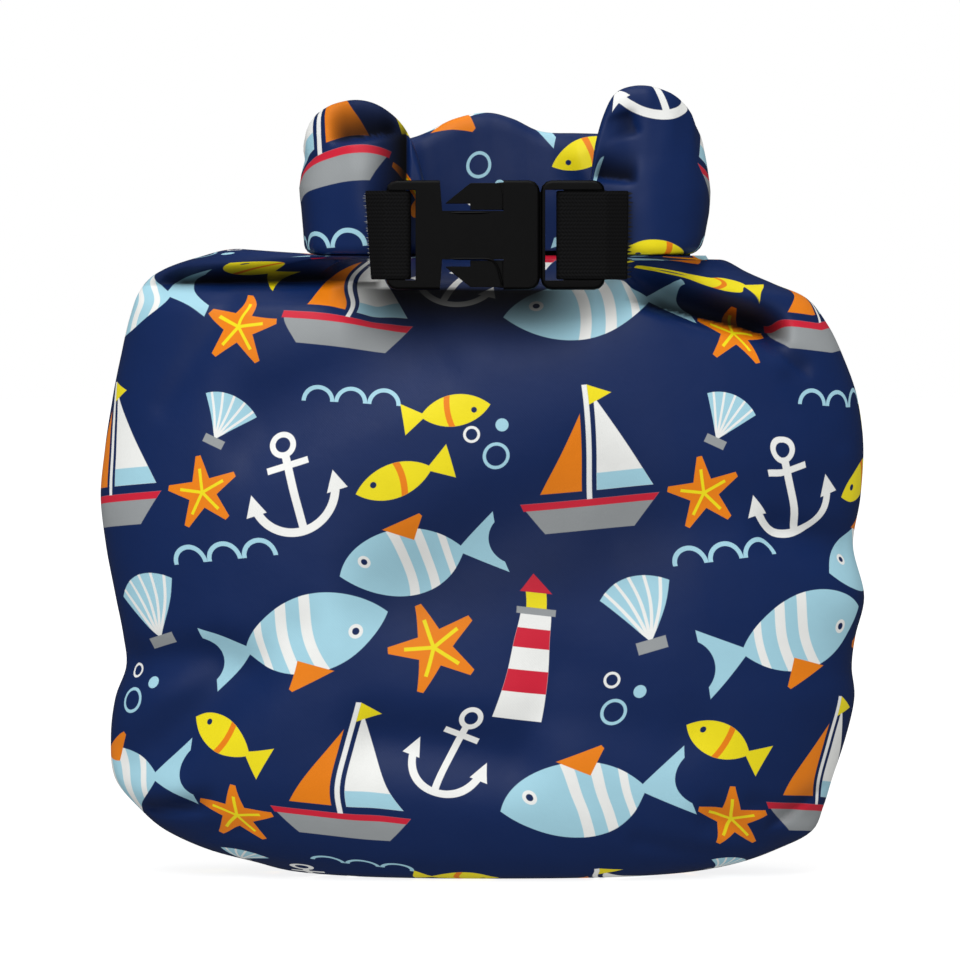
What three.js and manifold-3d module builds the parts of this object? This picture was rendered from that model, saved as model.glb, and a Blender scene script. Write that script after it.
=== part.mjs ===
// A cloth wet bag with a rolled top, stuffed round and standing on its base.
// The top is folded down into a flat band, the band is bent round from the back to the front,
// and its two ends are joined by short straps and a side-release buckle, which makes a carrying loop.
// Millimetres, +Z up, the front faces -Y. The origin is on the floor, under the middle of the bag.

import * as THREE from 'three';
import { mergeVertices } from 'three/addons/utils/BufferGeometryUtils.js';
import Module from 'manifold-3d';

const wasm = await Module();
wasm.setup();

// Driving dimensions, in millimetres
const CLEARANCE = 0.3;          // gap left between pieces that touch

const BAG_WIDTH = 264;          // stuffed pouch, side to side
const BAG_DEPTH = 100;          // stuffed pouch, front to back
const NECK_HEIGHT = 213;        // floor to the rim where the pouch goes into the roll
const NECK_THICKNESS = 7.6;     // the two cloths at the neck, outside to outside
const CLOTH_THICKNESS = 1.2;    // wall of the pouch
const PLUMPNESS = 2.25;         // 2 is an ellipse in plan, more is boxier

const COLLAR_WIDTH = 142;       // the bent roll, outside to outside, side to side
const COLLAR_DEPTH = 68;        // the bent roll, outside to outside, front to back
const COLLAR_HEIGHT = 57;       // the folded band, foot to the top of its tallest bend
const COLLAR_SHIFT = 7;         // the roll sits this far right of the pouch's middle
const COLLAR_FRONT = 41.2;      // the roll's front faces stand this far in front of the pouch's middle
const FOLD_PITCH = 4.3;         // one turn of the folded band to the next
const FOLD_LAYER = 2.4;         // thickness of one folded layer, which is two cloths

const WEBBING_WIDTH = 30;
const WEBBING_THICKNESS = 1.6;
const WEBBING_TAIL_LEFT = 7;    // sewn end past the left bar
const WEBBING_TAIL_RIGHT = 8.3; // sewn end past the right bar

const BUCKLE_LEFT = -32.8;      // outer edge of the socket's strap bar, from the pouch's middle
const BUCKLE_MIDDLE = 220;      // floor to the buckle's centre line
const BUCKLE_HEIGHT = 37;       // across the strap direction
const BUCKLE_THICKNESS = 8;
const BUCKLE_BEVEL = 1.1;
const CORNER_SHARE = 0.1;       // corner radius as a share of the buckle's height
const SOCKET_LENGTH = 52;       // outer edge of the strap bar to the mouth
const SOCKET_WALL = 1.5;        // front and back plates of the socket
const SOCKET_SIDE = 3.6;        // side walls of the socket's mouth
const SOCKET_BAR = 6.6;         // width of the socket's strap bar
const SOCKET_SLOT = 3.4;        // open slot beside it
const NOTCH_START = 19;         // from the socket's outer edge to the finger notch
const NOTCH_LENGTH = 20.7;
const NOTCH_DEPTH = 10.3;
const PLUG_LENGTH = 22;         // from the mouth to the outer edge of the plug's strap bar
const PLUG_ROOT = 1.5;          // crossbar that shows at the mouth
const PLUG_WINDOW = 6.2;        // open window beside it
const BAR_THICKNESS = 3.2;      // both strap bars
const ARM_WIDTH = 5;            // sprung release arms
const TONGUE_WIDTH = 8;         // guide between the arms
const PAD_THICKNESS = 6.4;      // the part of an arm that fingers press
const PAD_LIFT = 2.1;           // gap under the free tip of an arm

// Gives each number of a table's row the name of its column
function named(columns, rows) {
  return rows.map((row) => Object.fromEntries(columns.map((column, i) => [column, row[i]])));
}

// The pouch from the floor up, a ring each. rise, liftLeft and liftRight are shares of the neck's height, and
// the lifts raise or lower a ring's far left and far right, as on the shoulders. left and right are shares of
// half the bag's width, front and back of half its depth. gather is how far the outside has closed in to the
// neck, and bay is how far the middle of the front has been drawn back to it.
const POUCH_COLUMNS = ['rise', 'liftLeft', 'liftRight', 'left', 'right', 'front', 'back', 'gather', 'bay'];
const POUCH_ROWS = named(POUCH_COLUMNS, [
  [0.000, 0.000, 0.000, 0.420, 0.480, 0.50, 0.52, 0.00, 0.00],
  [0.006, 0.000, 0.000, 0.520, 0.580, 0.62, 0.64, 0.00, 0.00],
  [0.019, 0.000, 0.000, 0.600, 0.680, 0.70, 0.72, 0.00, 0.00],
  [0.039, 0.000, 0.000, 0.720, 0.770, 0.78, 0.80, 0.00, 0.00],
  [0.069, 0.000, 0.000, 0.830, 0.860, 0.85, 0.87, 0.00, 0.00],
  [0.108, 0.000, 0.000, 0.905, 0.890, 0.91, 0.92, 0.00, 0.00],
  [0.155, 0.000, 0.000, 0.963, 0.913, 0.95, 0.96, 0.00, 0.00],
  [0.220, 0.000, 0.000, 0.972, 0.948, 0.98, 0.98, 0.00, 0.00],
  [0.285, 0.000, 0.000, 0.960, 0.972, 1.00, 1.00, 0.00, 0.00],
  [0.335, 0.000, 0.000, 0.933, 0.965, 1.00, 1.00, 0.00, 0.00],
  [0.385, 0.000, 0.000, 0.940, 0.975, 1.00, 1.00, 0.00, 0.00],
  [0.450, 0.000, 0.000, 0.960, 0.998, 0.99, 1.00, 0.00, 0.00],
  [0.530, 0.000, 0.000, 0.985, 0.970, 0.98, 0.98, 0.00, 0.00],
  [0.610, 0.000, 0.000, 1.000, 0.988, 0.96, 0.96, 0.00, 0.00],
  [0.690, 0.000, 0.000, 0.987, 0.995, 0.94, 0.94, 0.00, 0.00],
  [0.768, 0.000, 0.000, 0.966, 0.978, 0.91, 0.91, 0.00, 0.00],
  [0.838, 0.000, 0.000, 0.943, 0.940, 0.88, 0.87, 0.00, 0.03],
  [0.893, 0.003, -0.003, 0.922, 0.900, 0.84, 0.82, 0.00, 0.10],
  [0.938, 0.010, -0.009, 0.897, 0.850, 0.79, 0.76, 0.01, 0.24],
  [0.966, 0.014, -0.022, 0.855, 0.775, 0.74, 0.70, 0.04, 0.42],
  [0.985, 0.022, -0.024, 0.790, 0.710, 0.70, 0.66, 0.14, 0.62],
  [0.994, 0.042, -0.004, 0.730, 0.670, 0.68, 0.64, 0.38, 0.80],
  [0.993, 0.006, 0.000, 0.680, 0.640, 0.68, 0.64, 0.76, 0.94],
  [1.000, 0.000, 0.000, 0.680, 0.640, 0.68, 0.64, 1.00, 1.00],
]);

// Main folds and dents of the pouch, each along a straight run from x1, z1 to x2, z2, on the front at side -1,
// on the back at side 1. x is a share of half the bag's width, z of the neck's height. width and depth are of
// half the bag's depth.
const POUCH_FOLDS = named(['side', 'x1', 'z1', 'x2', 'z2', 'width', 'depth'], [
  [-1, -0.90, 0.950, -0.42, 0.950, 0.11, 0.11],
  [-1, -0.34, 0.945, -0.28, 0.925, 0.12, 0.12],
  [-1, 0.40, 0.955, 0.74, 0.875, 0.13, 0.17],
  [-1, -0.57, 0.755, -0.22, 0.865, 0.26, 0.08],
  [-1, -0.24, 0.460, 0.28, 0.650, 0.32, 0.06],
  [-1, -0.28, 0.235, 0.10, 0.220, 0.26, 0.06],
  [-1, -0.90, 0.185, -0.63, 0.340, 0.22, 0.10],
  [-1, 0.79, 0.040, 0.60, 0.100, 0.12, 0.08],
  [-1, -0.95, 0.345, -0.70, 0.365, 0.15, 0.09],
  [-1, 0.98, 0.530, 0.76, 0.560, 0.14, 0.09],
  [-1, 0.20, 0.330, 0.55, 0.250, 0.26, 0.05],
  [1, -0.70, 0.900, -0.35, 0.700, 0.18, 0.10],
  [1, 0.66, 0.880, 0.40, 0.660, 0.18, 0.10],
  [1, -0.85, 0.200, -0.50, 0.330, 0.22, 0.09],
  [1, 0.84, 0.170, 0.52, 0.300, 0.22, 0.09],
]);

// The bent roll in plan, from its left front end round the back to its right front end. across is a share of
// half the roll's width, deep of its depth from the front, both to the middle of the band. top is a share of
// the roll's height.
const COLLAR_ROWS = named(['across', 'deep', 'top'], [
  [-0.410, 0.00, 0.420],
  [-0.450, 0.00, 0.600],
  [-0.530, 0.00, 0.780],
  [-0.660, 0.00, 0.900],
  [-0.800, 0.03, 0.925],
  [-0.950, 0.14, 0.860],
  [-1.000, 0.34, 0.740],
  [-0.980, 0.56, 0.680],
  [-0.800, 0.80, 0.660],
  [-0.480, 0.94, 0.710],
  [-0.260, 0.98, 0.830],
  [-0.090, 1.00, 0.870],
  [0.050, 1.00, 0.830],
  [0.200, 1.00, 0.750],
  [0.390, 0.97, 0.735],
  [0.620, 0.88, 0.720],
  [0.860, 0.72, 0.710],
  [0.990, 0.46, 0.700],
  [0.985, 0.24, 0.800],
  [0.920, 0.10, 0.920],
  [0.800, 0.02, 0.985],
  [0.680, 0.00, 1.000],
  [0.580, 0.00, 0.960],
  [0.520, 0.00, 0.840],
  [0.475, 0.00, 0.660],
  [0.450, 0.00, 0.450],
]);

// Counts of facets
const RING_OUTER = 38;
const RING_INNER = 26;
const COLLAR_STATIONS = 48;
const CORNER_FACETS = 3;
const TURN_FACETS = 4;

// A fold fades out toward the sides, over this share of half the depth
const SIDE_SHARE = 0.3;

// The part of the front that the neck draws back reaches this far each way from its middle
const FRONT_ANGLE = THREE.MathUtils.degToRad(38);

const navyCloth = { color: 0x202c58, roughness: 0.42, metalness: 0 };
const blackWebbing = { color: 0x161616, roughness: 0.85, metalness: 0 };
const blackPlastic = { color: 0x1b1b1b, roughness: 0.4, metalness: 0 };

const { lerp, clamp } = THREE.MathUtils;

function mesh(name, geometry, look) {
  const piece = new THREE.Mesh(geometry, new THREE.MeshStandardMaterial(look));
  piece.name = name;
  return piece;
}

// A closed surface from rings of points. Each ring joins the next, and cap gives the end rings' triangles
function loft(rings, capStart, capEnd) {
  const count = rings[0].length;
  const faces = [];
  for (let row = 0; row + 1 < rings.length; row++) {
    for (let i = 0; i < count; i++) {
      const j = (i + 1) % count;
      const a = row * count + i;
      const b = row * count + j;
      faces.push([a, b, b + count], [a, b + count, a + count]);
    }
  }
  const last = (rings.length - 1) * count;
  for (const [a, b, c] of capStart) faces.push([c, b, a]);
  for (const [a, b, c] of capEnd) faces.push([last + a, last + b, last + c]);
  return surface(rings.flat(), faces);
}

function surface(points, faces) {
  const geometry = new THREE.BufferGeometry();
  geometry.setAttribute('position', new THREE.Float32BufferAttribute(points.flatMap((p) => p.toArray()), 3));
  geometry.setIndex(faces.flat());
  geometry.computeVertexNormals();
  return geometry;
}

// Solids for the cuts and joins of the buckle
function toSolid(geometry) {
  const bare = geometry.index ? geometry.toNonIndexed() : geometry.clone();
  bare.deleteAttribute('normal');
  bare.deleteAttribute('uv');
  const merged = mergeVertices(bare, 1e-4);
  const vertProperties = new Float32Array(merged.attributes.position.array);
  const triVerts = new Uint32Array(merged.index.array);
  return new wasm.Manifold(new wasm.Mesh({ numProp: 3, vertProperties, triVerts }));
}

function toGeometry(solid) {
  const result = solid.getMesh();
  const geometry = new THREE.BufferGeometry();
  geometry.setAttribute('position', new THREE.BufferAttribute(new Float32Array(result.vertProperties), 3));
  geometry.setIndex(new THREE.BufferAttribute(new Uint32Array(result.triVerts), 1));
  geometry.computeVertexNormals();
  return geometry;
}

// A box between two x values, two y values and two z values
function boxSolid(x1, x2, y1, y2, z1, z2) {
  const box = new THREE.BoxGeometry(x2 - x1, y2 - y1, z2 - z1);
  box.translate((x1 + x2) / 2, (y1 + y2) / 2, (z1 + z2) / 2);
  return toSolid(box);
}

// An outline in x and z, extruded along y about the middle, with a bevel round its front and back edges
function plateSolid(outline, thickness, bevel) {
  const shape = new THREE.Shape(outline.map(([x, z]) => new THREE.Vector2(x, -z)));
  const geometry = new THREE.ExtrudeGeometry(shape, {
    depth: thickness - 2 * bevel,
    bevelEnabled: bevel > 0,
    bevelThickness: bevel,
    bevelSize: bevel,
    bevelOffset: -bevel,
    bevelSegments: 2,
  });
  geometry.translate(0, 0, bevel - thickness / 2);
  geometry.rotateX(-Math.PI / 2);
  return toSolid(geometry);
}

// The roll's middle line in plan, with the height of its top
const collarThickness = 2 * FOLD_PITCH + FOLD_LAYER;
const collarHalf = (COLLAR_WIDTH - collarThickness) / 2;
const collarRun = COLLAR_DEPTH - collarThickness;
const collarLine = new THREE.CatmullRomCurve3(COLLAR_ROWS.map((row) => new THREE.Vector3(
  COLLAR_SHIFT + row.across * collarHalf,
  -COLLAR_FRONT + collarThickness / 2 + row.deep * collarRun,
  row.top * COLLAR_HEIGHT,
)), false, 'centripetal');
collarLine.arcLengthDivisions = 600;

// A place along the roll: the middle of the band, the sideways direction out of the loop, and the top
function collarPlace(share) {
  const at = collarLine.getPointAt(share);
  const ahead = collarLine.getPointAt(Math.min(1, share + 0.004));
  const behind = collarLine.getPointAt(Math.max(0, share - 0.004));
  const along = ahead.sub(behind);
  const length = Math.hypot(along.x, along.y);
  return { x: at.x, y: at.y, outX: -along.y / length, outY: along.x / length, top: at.z };
}

// The roll runs clockwise seen from above, so its left-hand side is the outside of the loop
function beside(share, distance, height) {
  const place = collarPlace(share);
  return new THREE.Vector3(place.x + place.outX * distance, place.y + place.outY * distance, height);
}

// A point of the pouch's belly outline in plan at an angle, anticlockwise from +X
function bellyPoint(row, angle) {
  const halfWidth = BAG_WIDTH / 2;
  const reach = halfWidth * (row.left + row.right) / 2;
  const middle = halfWidth * (row.right - row.left) / 2;
  const c = Math.cos(angle);
  const s = Math.sin(angle);
  const deep = BAG_DEPTH / 2 * (s < 0 ? row.front : row.back);
  return new THREE.Vector2(
    middle + reach * Math.sign(c) * Math.abs(c) ** (2 / PLUMPNESS),
    deep * Math.sign(s) * Math.abs(s) ** (2 / PLUMPNESS),
  );
}

// One ring of the pouch. Its outside runs from the left end of the neck round the back to the right end, and
// its inside comes back along the front, which the neck draws in to the hollow side of its C
function pouchRing(row) {
  const ring = [];
  const leftEnd = 1.5 * Math.PI - FRONT_ANGLE;
  const rightEnd = -0.5 * Math.PI + FRONT_ANGLE;
  for (let i = 0; i < RING_OUTER; i++) {
    const t = i / (RING_OUTER - 1);
    const belly = bellyPoint(row, lerp(leftEnd, rightEnd, t));
    const neck = beside(t, NECK_THICKNESS / 2, 0);
    ring.push(pouchPoint(row, belly, neck, row.gather));
  }
  for (let i = 0; i < RING_INNER; i++) {
    const t = (i + 0.5) / RING_INNER;
    const belly = bellyPoint(row, lerp(rightEnd, rightEnd - 2 * FRONT_ANGLE, t));
    const neck = beside(1 - t, -NECK_THICKNESS / 2, 0);
    const share = lerp(row.gather, row.bay, Math.sin(Math.PI * t) ** 0.6);
    ring.push(pouchPoint(row, belly, neck, share));
  }
  return ring.reverse();
}

function pouchPoint(row, belly, neck, share) {
  const x = lerp(belly.x, neck.x, share);
  const y = lerp(belly.y, neck.y, share);
  const outward = x / (BAG_WIDTH / 2);
  const lift = (outward < 0 ? row.liftLeft : row.liftRight) * outward ** 2;
  const height = NECK_HEIGHT * (row.rise + lift);
  return new THREE.Vector3(x, y + foldShift(x, y, height), height);
}

// How far the folds move a point toward the pouch's middle plane
function foldShift(x, y, height) {
  const halfDepth = BAG_DEPTH / 2;
  let shift = 0;
  for (const fold of POUCH_FOLDS) {
    const start = new THREE.Vector2(fold.x1 * BAG_WIDTH / 2, fold.z1 * NECK_HEIGHT);
    const run = new THREE.Vector2(fold.x2 * BAG_WIDTH / 2, fold.z2 * NECK_HEIGHT).sub(start);
    const from = new THREE.Vector2(x, height).sub(start);
    const along = clamp(from.dot(run) / run.lengthSq(), 0, 1);
    const away = from.sub(run.multiplyScalar(along)).length();
    const facing = clamp(fold.side * y / (SIDE_SHARE * halfDepth), 0, 1);
    const dent = fold.depth * halfDepth * Math.exp(-((away / (fold.width * halfDepth)) ** 2));
    shift -= fold.side * facing * dent;
  }
  return shift;
}

// The pouch: its outside, its inside one cloth's thickness in, and a rim between them at the open neck
function makePouch() {
  const rings = POUCH_ROWS.map(pouchRing);
  const count = rings[0].length;
  const top = rings.length - 1;
  const outer = rings.flat();
  const sides = [];
  for (let row = 0; row < top; row++) {
    for (let i = 0; i < count; i++) {
      const a = row * count + i;
      const b = row * count + (i + 1) % count;
      sides.push([a, b, b + count], [a, b + count, a + count]);
    }
  }
  const baseRing = rings[0].map((p) => new THREE.Vector2(p.x, p.y));
  const base = THREE.ShapeUtils.triangulateShape(baseRing, []);
  const outside = [...sides, ...base.map(([a, b, c]) => [c, b, a])];
  const normals = surface(outer, outside).attributes.normal;
  const inner = outer.map((point, i) => {
    const normal = new THREE.Vector3().fromBufferAttribute(normals, i);
    return insidePoint(point, normal, i >= top * count);
  });
  const shift = outer.length;
  const inside = outside.map(([a, b, c]) => [shift + a, shift + c, shift + b]);
  const rim = [];
  for (let i = 0; i < count; i++) {
    const a = top * count + i;
    const b = top * count + (i + 1) % count;
    rim.push([a, b, shift + b], [a, shift + b, shift + a]);
  }
  return flipIfInsideOut(surface([...outer, ...inner], [...outside, ...inside, ...rim]));
}

// The wall's inside point. On the rim it stays level, and over the flat base it is one thickness up
function insidePoint(point, normal, onRim) {
  if (onRim) {
    const level = new THREE.Vector3(normal.x, normal.y, 0).normalize();
    return point.clone().addScaledVector(level, -CLOTH_THICKNESS);
  }
  const inner = point.clone().addScaledVector(normal, -CLOTH_THICKNESS);
  if (point.z === 0) inner.z = CLOTH_THICKNESS;
  return inner;
}

function flipIfInsideOut(geometry) {
  const p = geometry.attributes.position;
  const index = geometry.index.array;
  const corner = [new THREE.Vector3(), new THREE.Vector3(), new THREE.Vector3()];
  let volume = 0;
  for (let i = 0; i < index.length; i += 3) {
    corner.forEach((v, k) => v.fromBufferAttribute(p, index[i + k]));
    volume += corner[0].dot(corner[1].clone().cross(corner[2]));
  }
  if (volume < 0) {
    for (let i = 0; i < index.length; i += 3) [index[i + 1], index[i + 2]] = [index[i + 2], index[i + 1]];
    geometry.computeVertexNormals();
  }
  return geometry;
}

// The middle line of the folded layers, from the neck up the inner side, over the top, down the outer side,
// in at the foot and up the middle. The first number is across the band in fold pitches, the second is a
// height share, and the third is an extra height in fold pitches, so that each turn stays round
function foldLine() {
  const line = [];
  const turn = (middle, radius, height, lift, from, to) => {
    for (let i = 0; i <= TURN_FACETS; i++) {
      const angle = lerp(from, to, i / TURN_FACETS);
      line.push([middle + radius * Math.cos(angle), height, lift + radius * Math.sin(angle)]);
    }
  };
  line.push([-1, 0, 0.3]);
  turn(0, 1, 1, -1.3, Math.PI, 0);
  turn(0.5, 0.5, 0, 0.8, 0, -Math.PI);
  line.push([0, 0.82, -1]);
  return line;
}

// The folded band's section as a closed ribbon, one layer thick
function foldSection(height) {
  const line = foldLine().map(([across, share, lift]) => new THREE.Vector2(
    across * FOLD_PITCH,
    share * height + lift * FOLD_PITCH,
  ));
  const left = [];
  const right = [];
  line.forEach((p, i) => {
    const before = line[Math.max(0, i - 1)];
    const after = line[Math.min(line.length - 1, i + 1)];
    const along = after.clone().sub(before).normalize();
    const side = new THREE.Vector2(-along.y, along.x).multiplyScalar(FOLD_LAYER / 2);
    left.push(p.clone().add(side));
    right.push(p.clone().sub(side));
  });
  const section = [...left, ...right.reverse()];
  return THREE.ShapeUtils.isClockWise(section) ? section.reverse() : section;
}

// The roll: the folded band's section carried along the bent line, standing just above the neck's rim
function makeCollar() {
  const foot = NECK_HEIGHT + CLEARANCE;
  const rings = [];
  for (let i = 0; i <= COLLAR_STATIONS; i++) {
    const share = i / COLLAR_STATIONS;
    const section = foldSection(collarPlace(share).top);
    rings.push(section.map((p) => beside(share, p.x, foot + p.y)));
  }
  const cap = (height) => THREE.ShapeUtils.triangulateShape(foldSection(height), []);
  const start = cap(collarPlace(0).top);
  const end = cap(collarPlace(1).top);
  return flipIfInsideOut(loft(rings, start, end));
}

// Buckle places, from the driving dimensions
const buckleY = -(COLLAR_FRONT + CLEARANCE + BUCKLE_THICKNESS / 2);
const mouthX = BUCKLE_LEFT + SOCKET_LENGTH;
const halfHeight = BUCKLE_HEIGHT / 2;
const slotHalf = WEBBING_WIDTH / 2 + CLEARANCE;
const plateHalf = BUCKLE_THICKNESS / 2;
const barHalf = BAR_THICKNESS / 2;
const channelHalf = plateHalf - SOCKET_WALL;
const insideHalf = channelHalf - CLEARANCE;
const channelReach = halfHeight - SOCKET_SIDE;
const plugRight = mouthX + PLUG_LENGTH;
const plugLeft = mouthX + CLEARANCE;
const plugBarLeft = plugLeft + PLUG_ROOT + PLUG_WINDOW;
const socketBarRight = BUCKLE_LEFT + SOCKET_BAR;

// A rounded rectangle in x and z
function roundedOutline(x1, x2, half, radius) {
  const outline = [];
  const corners = [[x2, half, 0], [x1, half, 1], [x1, -half, 2], [x2, -half, 3]];
  for (const [x, z, quarter] of corners) {
    const middleX = x + (x === x2 ? -radius : radius);
    const middleZ = z - Math.sign(z) * radius;
    for (let i = 0; i <= CORNER_FACETS; i++) {
      const angle = (quarter + i / CORNER_FACETS) * Math.PI / 2;
      outline.push([middleX + radius * Math.cos(angle), middleZ + radius * Math.sin(angle)]);
    }
  }
  return outline;
}

// The socket: a flat body open at its mouth, with a finger notch in each side, a slot and a thin strap bar
function makeSocket() {
  const radius = CORNER_SHARE * BUCKLE_HEIGHT;
  const far = BUCKLE_HEIGHT;
  const outline = roundedOutline(BUCKLE_LEFT, mouthX, halfHeight, radius);
  let socket = plateSolid(outline, BUCKLE_THICKNESS, BUCKLE_BEVEL);
  const slot = boxSolid(socketBarRight, socketBarRight + SOCKET_SLOT, -far, far, -slotHalf, slotHalf);
  const barFront = boxSolid(BUCKLE_LEFT - far, socketBarRight, -far, -barHalf, -slotHalf, slotHalf);
  const barBack = boxSolid(BUCKLE_LEFT - far, socketBarRight, barHalf, far, -slotHalf, slotHalf);
  const channelLeft = BUCKLE_LEFT + NOTCH_START - 2 * CLEARANCE;
  const channel = boxSolid(channelLeft, mouthX + far, -channelHalf, channelHalf, -channelReach, channelReach);
  socket = socket.subtract(slot).subtract(barFront).subtract(barBack).subtract(channel);
  for (const side of [-1, 1]) {
    const left = BUCKLE_LEFT + NOTCH_START;
    const floor = halfHeight - NOTCH_DEPTH;
    const slope = 0.22 * NOTCH_DEPTH;
    const notch = [
      [left - slope, far], [left, floor], [left + NOTCH_LENGTH, floor], [left + NOTCH_LENGTH, far],
    ].map(([x, z]) => [x, side * z]);
    socket = socket.subtract(plateSolid(side > 0 ? notch : notch.reverse(), 2 * far, 0));
  }
  return toGeometry(socket).translate(0, buckleY, BUCKLE_MIDDLE);
}

// The plug: a frame with a window and a thin strap bar, a guide tongue and two sprung arms with finger pads
function makePlug() {
  const radius = CORNER_SHARE * BUCKLE_HEIGHT;
  const far = BUCKLE_HEIGHT;
  const outline = roundedOutline(plugLeft, plugRight, halfHeight, radius);
  let plug = plateSolid(outline, BUCKLE_THICKNESS, BUCKLE_BEVEL);
  const window = boxSolid(plugLeft + PLUG_ROOT, plugBarLeft, -far, far, -slotHalf, slotHalf);
  const barFront = boxSolid(plugBarLeft, plugRight + far, -far, -barHalf, -slotHalf, slotHalf);
  const barBack = boxSolid(plugBarLeft, plugRight + far, barHalf, far, -slotHalf, slotHalf);
  plug = plug.subtract(window).subtract(barFront).subtract(barBack);
  const reach = channelReach - CLEARANCE;
  const rootLeft = mouthX - ARM_WIDTH;
  plug = plug.add(boxSolid(rootLeft, plugLeft + PLUG_ROOT, -insideHalf, insideHalf, -reach, reach));
  const tongueLeft = BUCKLE_LEFT + NOTCH_START + CLEARANCE;
  plug = plug.add(boxSolid(tongueLeft, mouthX, -insideHalf, insideHalf, -TONGUE_WIDTH / 2, TONGUE_WIDTH / 2));
  const padRight = BUCKLE_LEFT + NOTCH_START + NOTCH_LENGTH - CLEARANCE;
  const tip = BUCKLE_LEFT + NOTCH_START + 4 * CLEARANCE;
  const shoulder = tip + 0.4 * NOTCH_LENGTH;
  const armFoot = halfHeight - NOTCH_DEPTH + CLEARANCE;
  const armTop = armFoot + ARM_WIDTH;
  const tipFoot = armFoot + PAD_LIFT;
  const padTop = halfHeight - 3 * CLEARANCE;
  for (const side of [-1, 1]) {
    const order = (outline) => (side > 0 ? outline : outline.reverse()).map(([x, z]) => [x, side * z]);
    const arm = order([[mouthX, armFoot], [mouthX, armTop], [shoulder, armTop], [shoulder, armFoot]]);
    const pad = order([
      [padRight, armFoot], [padRight, armTop], [padRight - 3 * CLEARANCE, padTop],
      [shoulder + CLEARANCE, padTop], [shoulder - CLEARANCE, padTop - CLEARANCE],
      [tip, tipFoot + CLEARANCE], [tip, tipFoot], [shoulder, tipFoot], [shoulder, armFoot],
    ]);
    plug = plug.add(plateSolid(arm, 2 * insideHalf, 0)).add(plateSolid(pad, PAD_THICKNESS, 0));
  }
  return toGeometry(plug).translate(0, buckleY, BUCKLE_MIDDLE);
}

// A strap doubled round a bar, seen from above: a ring round the bar whose two layers meet in a sewn tail on
// the roll's front. barNear and barFar are the bar's edges toward the buckle's middle and toward the tail
function makeWebbing(barNear, barFar, tail) {
  const away = Math.sign(barFar - barNear);
  const gap = CLEARANCE;
  const thick = WEBBING_THICKNESS;
  const inner = barHalf + gap;
  const outer = inner + thick;
  const rollFace = -COLLAR_FRONT - CLEARANCE - buckleY;
  const near = barNear - away * (gap + thick);
  const far = barFar + away * gap;
  const end = barFar + away * tail;
  const back = rollFace;
  const corner = thick * 0.8;
  const outline = [
    [near, -outer + corner], [near + away * corner, -outer], [far, -outer], [end, back - 2 * thick],
    [end, back], [far + away * thick, back], [far, outer],
    [near + away * corner, outer], [near, outer - corner],
  ];
  const hole = [
    [near + away * thick, -inner], [near + away * thick, inner],
    [far, inner], [far + away * thick, 0], [far, -inner],
  ];
  const shape = new THREE.Shape(outline.map(([x, y]) => new THREE.Vector2(x, y)));
  shape.holes.push(new THREE.Path(hole.map(([x, y]) => new THREE.Vector2(x, y))));
  const strap = new THREE.ExtrudeGeometry(shape, { depth: WEBBING_WIDTH, bevelEnabled: false });
  strap.translate(0, buckleY, BUCKLE_MIDDLE - WEBBING_WIDTH / 2);
  return toGeometry(toSolid(strap));
}

const bag = new THREE.Group();
bag.add(mesh('bag_body', makePouch(), navyCloth));
bag.add(mesh('rolled_collar', makeCollar(), navyCloth));
bag.add(mesh('webbing_left', makeWebbing(socketBarRight, BUCKLE_LEFT, WEBBING_TAIL_LEFT), blackWebbing));
bag.add(mesh('webbing_right', makeWebbing(plugBarLeft, plugRight, WEBBING_TAIL_RIGHT), blackWebbing));
bag.add(mesh('buckle_socket', makeSocket(), blackPlastic));
bag.add(mesh('buckle_plug', makePlug(), blackPlastic));

// The origin goes under the middle of the whole bag
const box = new THREE.Box3().setFromObject(bag);
bag.position.set(-(box.min.x + box.max.x) / 2, -(box.min.y + box.max.y) / 2, -box.min.z);

export default bag;
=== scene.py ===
import math

import bmesh
import bpy
import numpy as np
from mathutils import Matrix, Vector


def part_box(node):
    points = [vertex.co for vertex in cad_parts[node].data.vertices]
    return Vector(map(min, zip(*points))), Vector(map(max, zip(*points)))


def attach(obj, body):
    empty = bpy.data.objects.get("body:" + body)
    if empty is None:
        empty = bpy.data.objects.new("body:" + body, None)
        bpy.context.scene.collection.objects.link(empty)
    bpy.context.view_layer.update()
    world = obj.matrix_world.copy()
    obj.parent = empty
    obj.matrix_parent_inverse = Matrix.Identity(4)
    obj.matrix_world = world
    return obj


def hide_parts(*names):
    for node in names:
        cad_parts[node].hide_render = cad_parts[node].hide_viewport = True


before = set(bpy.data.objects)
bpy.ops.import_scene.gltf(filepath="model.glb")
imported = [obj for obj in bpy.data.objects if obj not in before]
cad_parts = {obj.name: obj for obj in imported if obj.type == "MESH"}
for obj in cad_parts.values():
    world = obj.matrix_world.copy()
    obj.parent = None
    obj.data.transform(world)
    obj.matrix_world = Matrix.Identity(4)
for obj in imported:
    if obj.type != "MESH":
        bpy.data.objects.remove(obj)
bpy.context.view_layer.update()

MM = 0.001

# Sizes of the bag, as in the frame, in metres
BAG_WIDTH = 264 * MM
BAG_DEPTH = 100 * MM
NECK_HEIGHT = 213 * MM
NECK_THICKNESS = 7.6 * MM
CLOTH_THICKNESS = 1.2 * MM
SEAM_DEPTH = 0.9 * MM
SEAM_WIDTH = 1.6 * MM
PLUMPNESS = 2.25
FRONT_ANGLE = 38
SIDE_SHARE = 0.3

ROLL_WIDTH = 142 * MM
ROLL_DEPTH = 68 * MM
ROLL_HEIGHT = 57 * MM
ROLL_SHIFT = 7 * MM
ROLL_FRONT = 41.2 * MM
FOLD_PITCH = 4.3 * MM
FOLD_LAYER = 2.4 * MM
ROLL_THICKNESS = 2 * FOLD_PITCH + FOLD_LAYER

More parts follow.
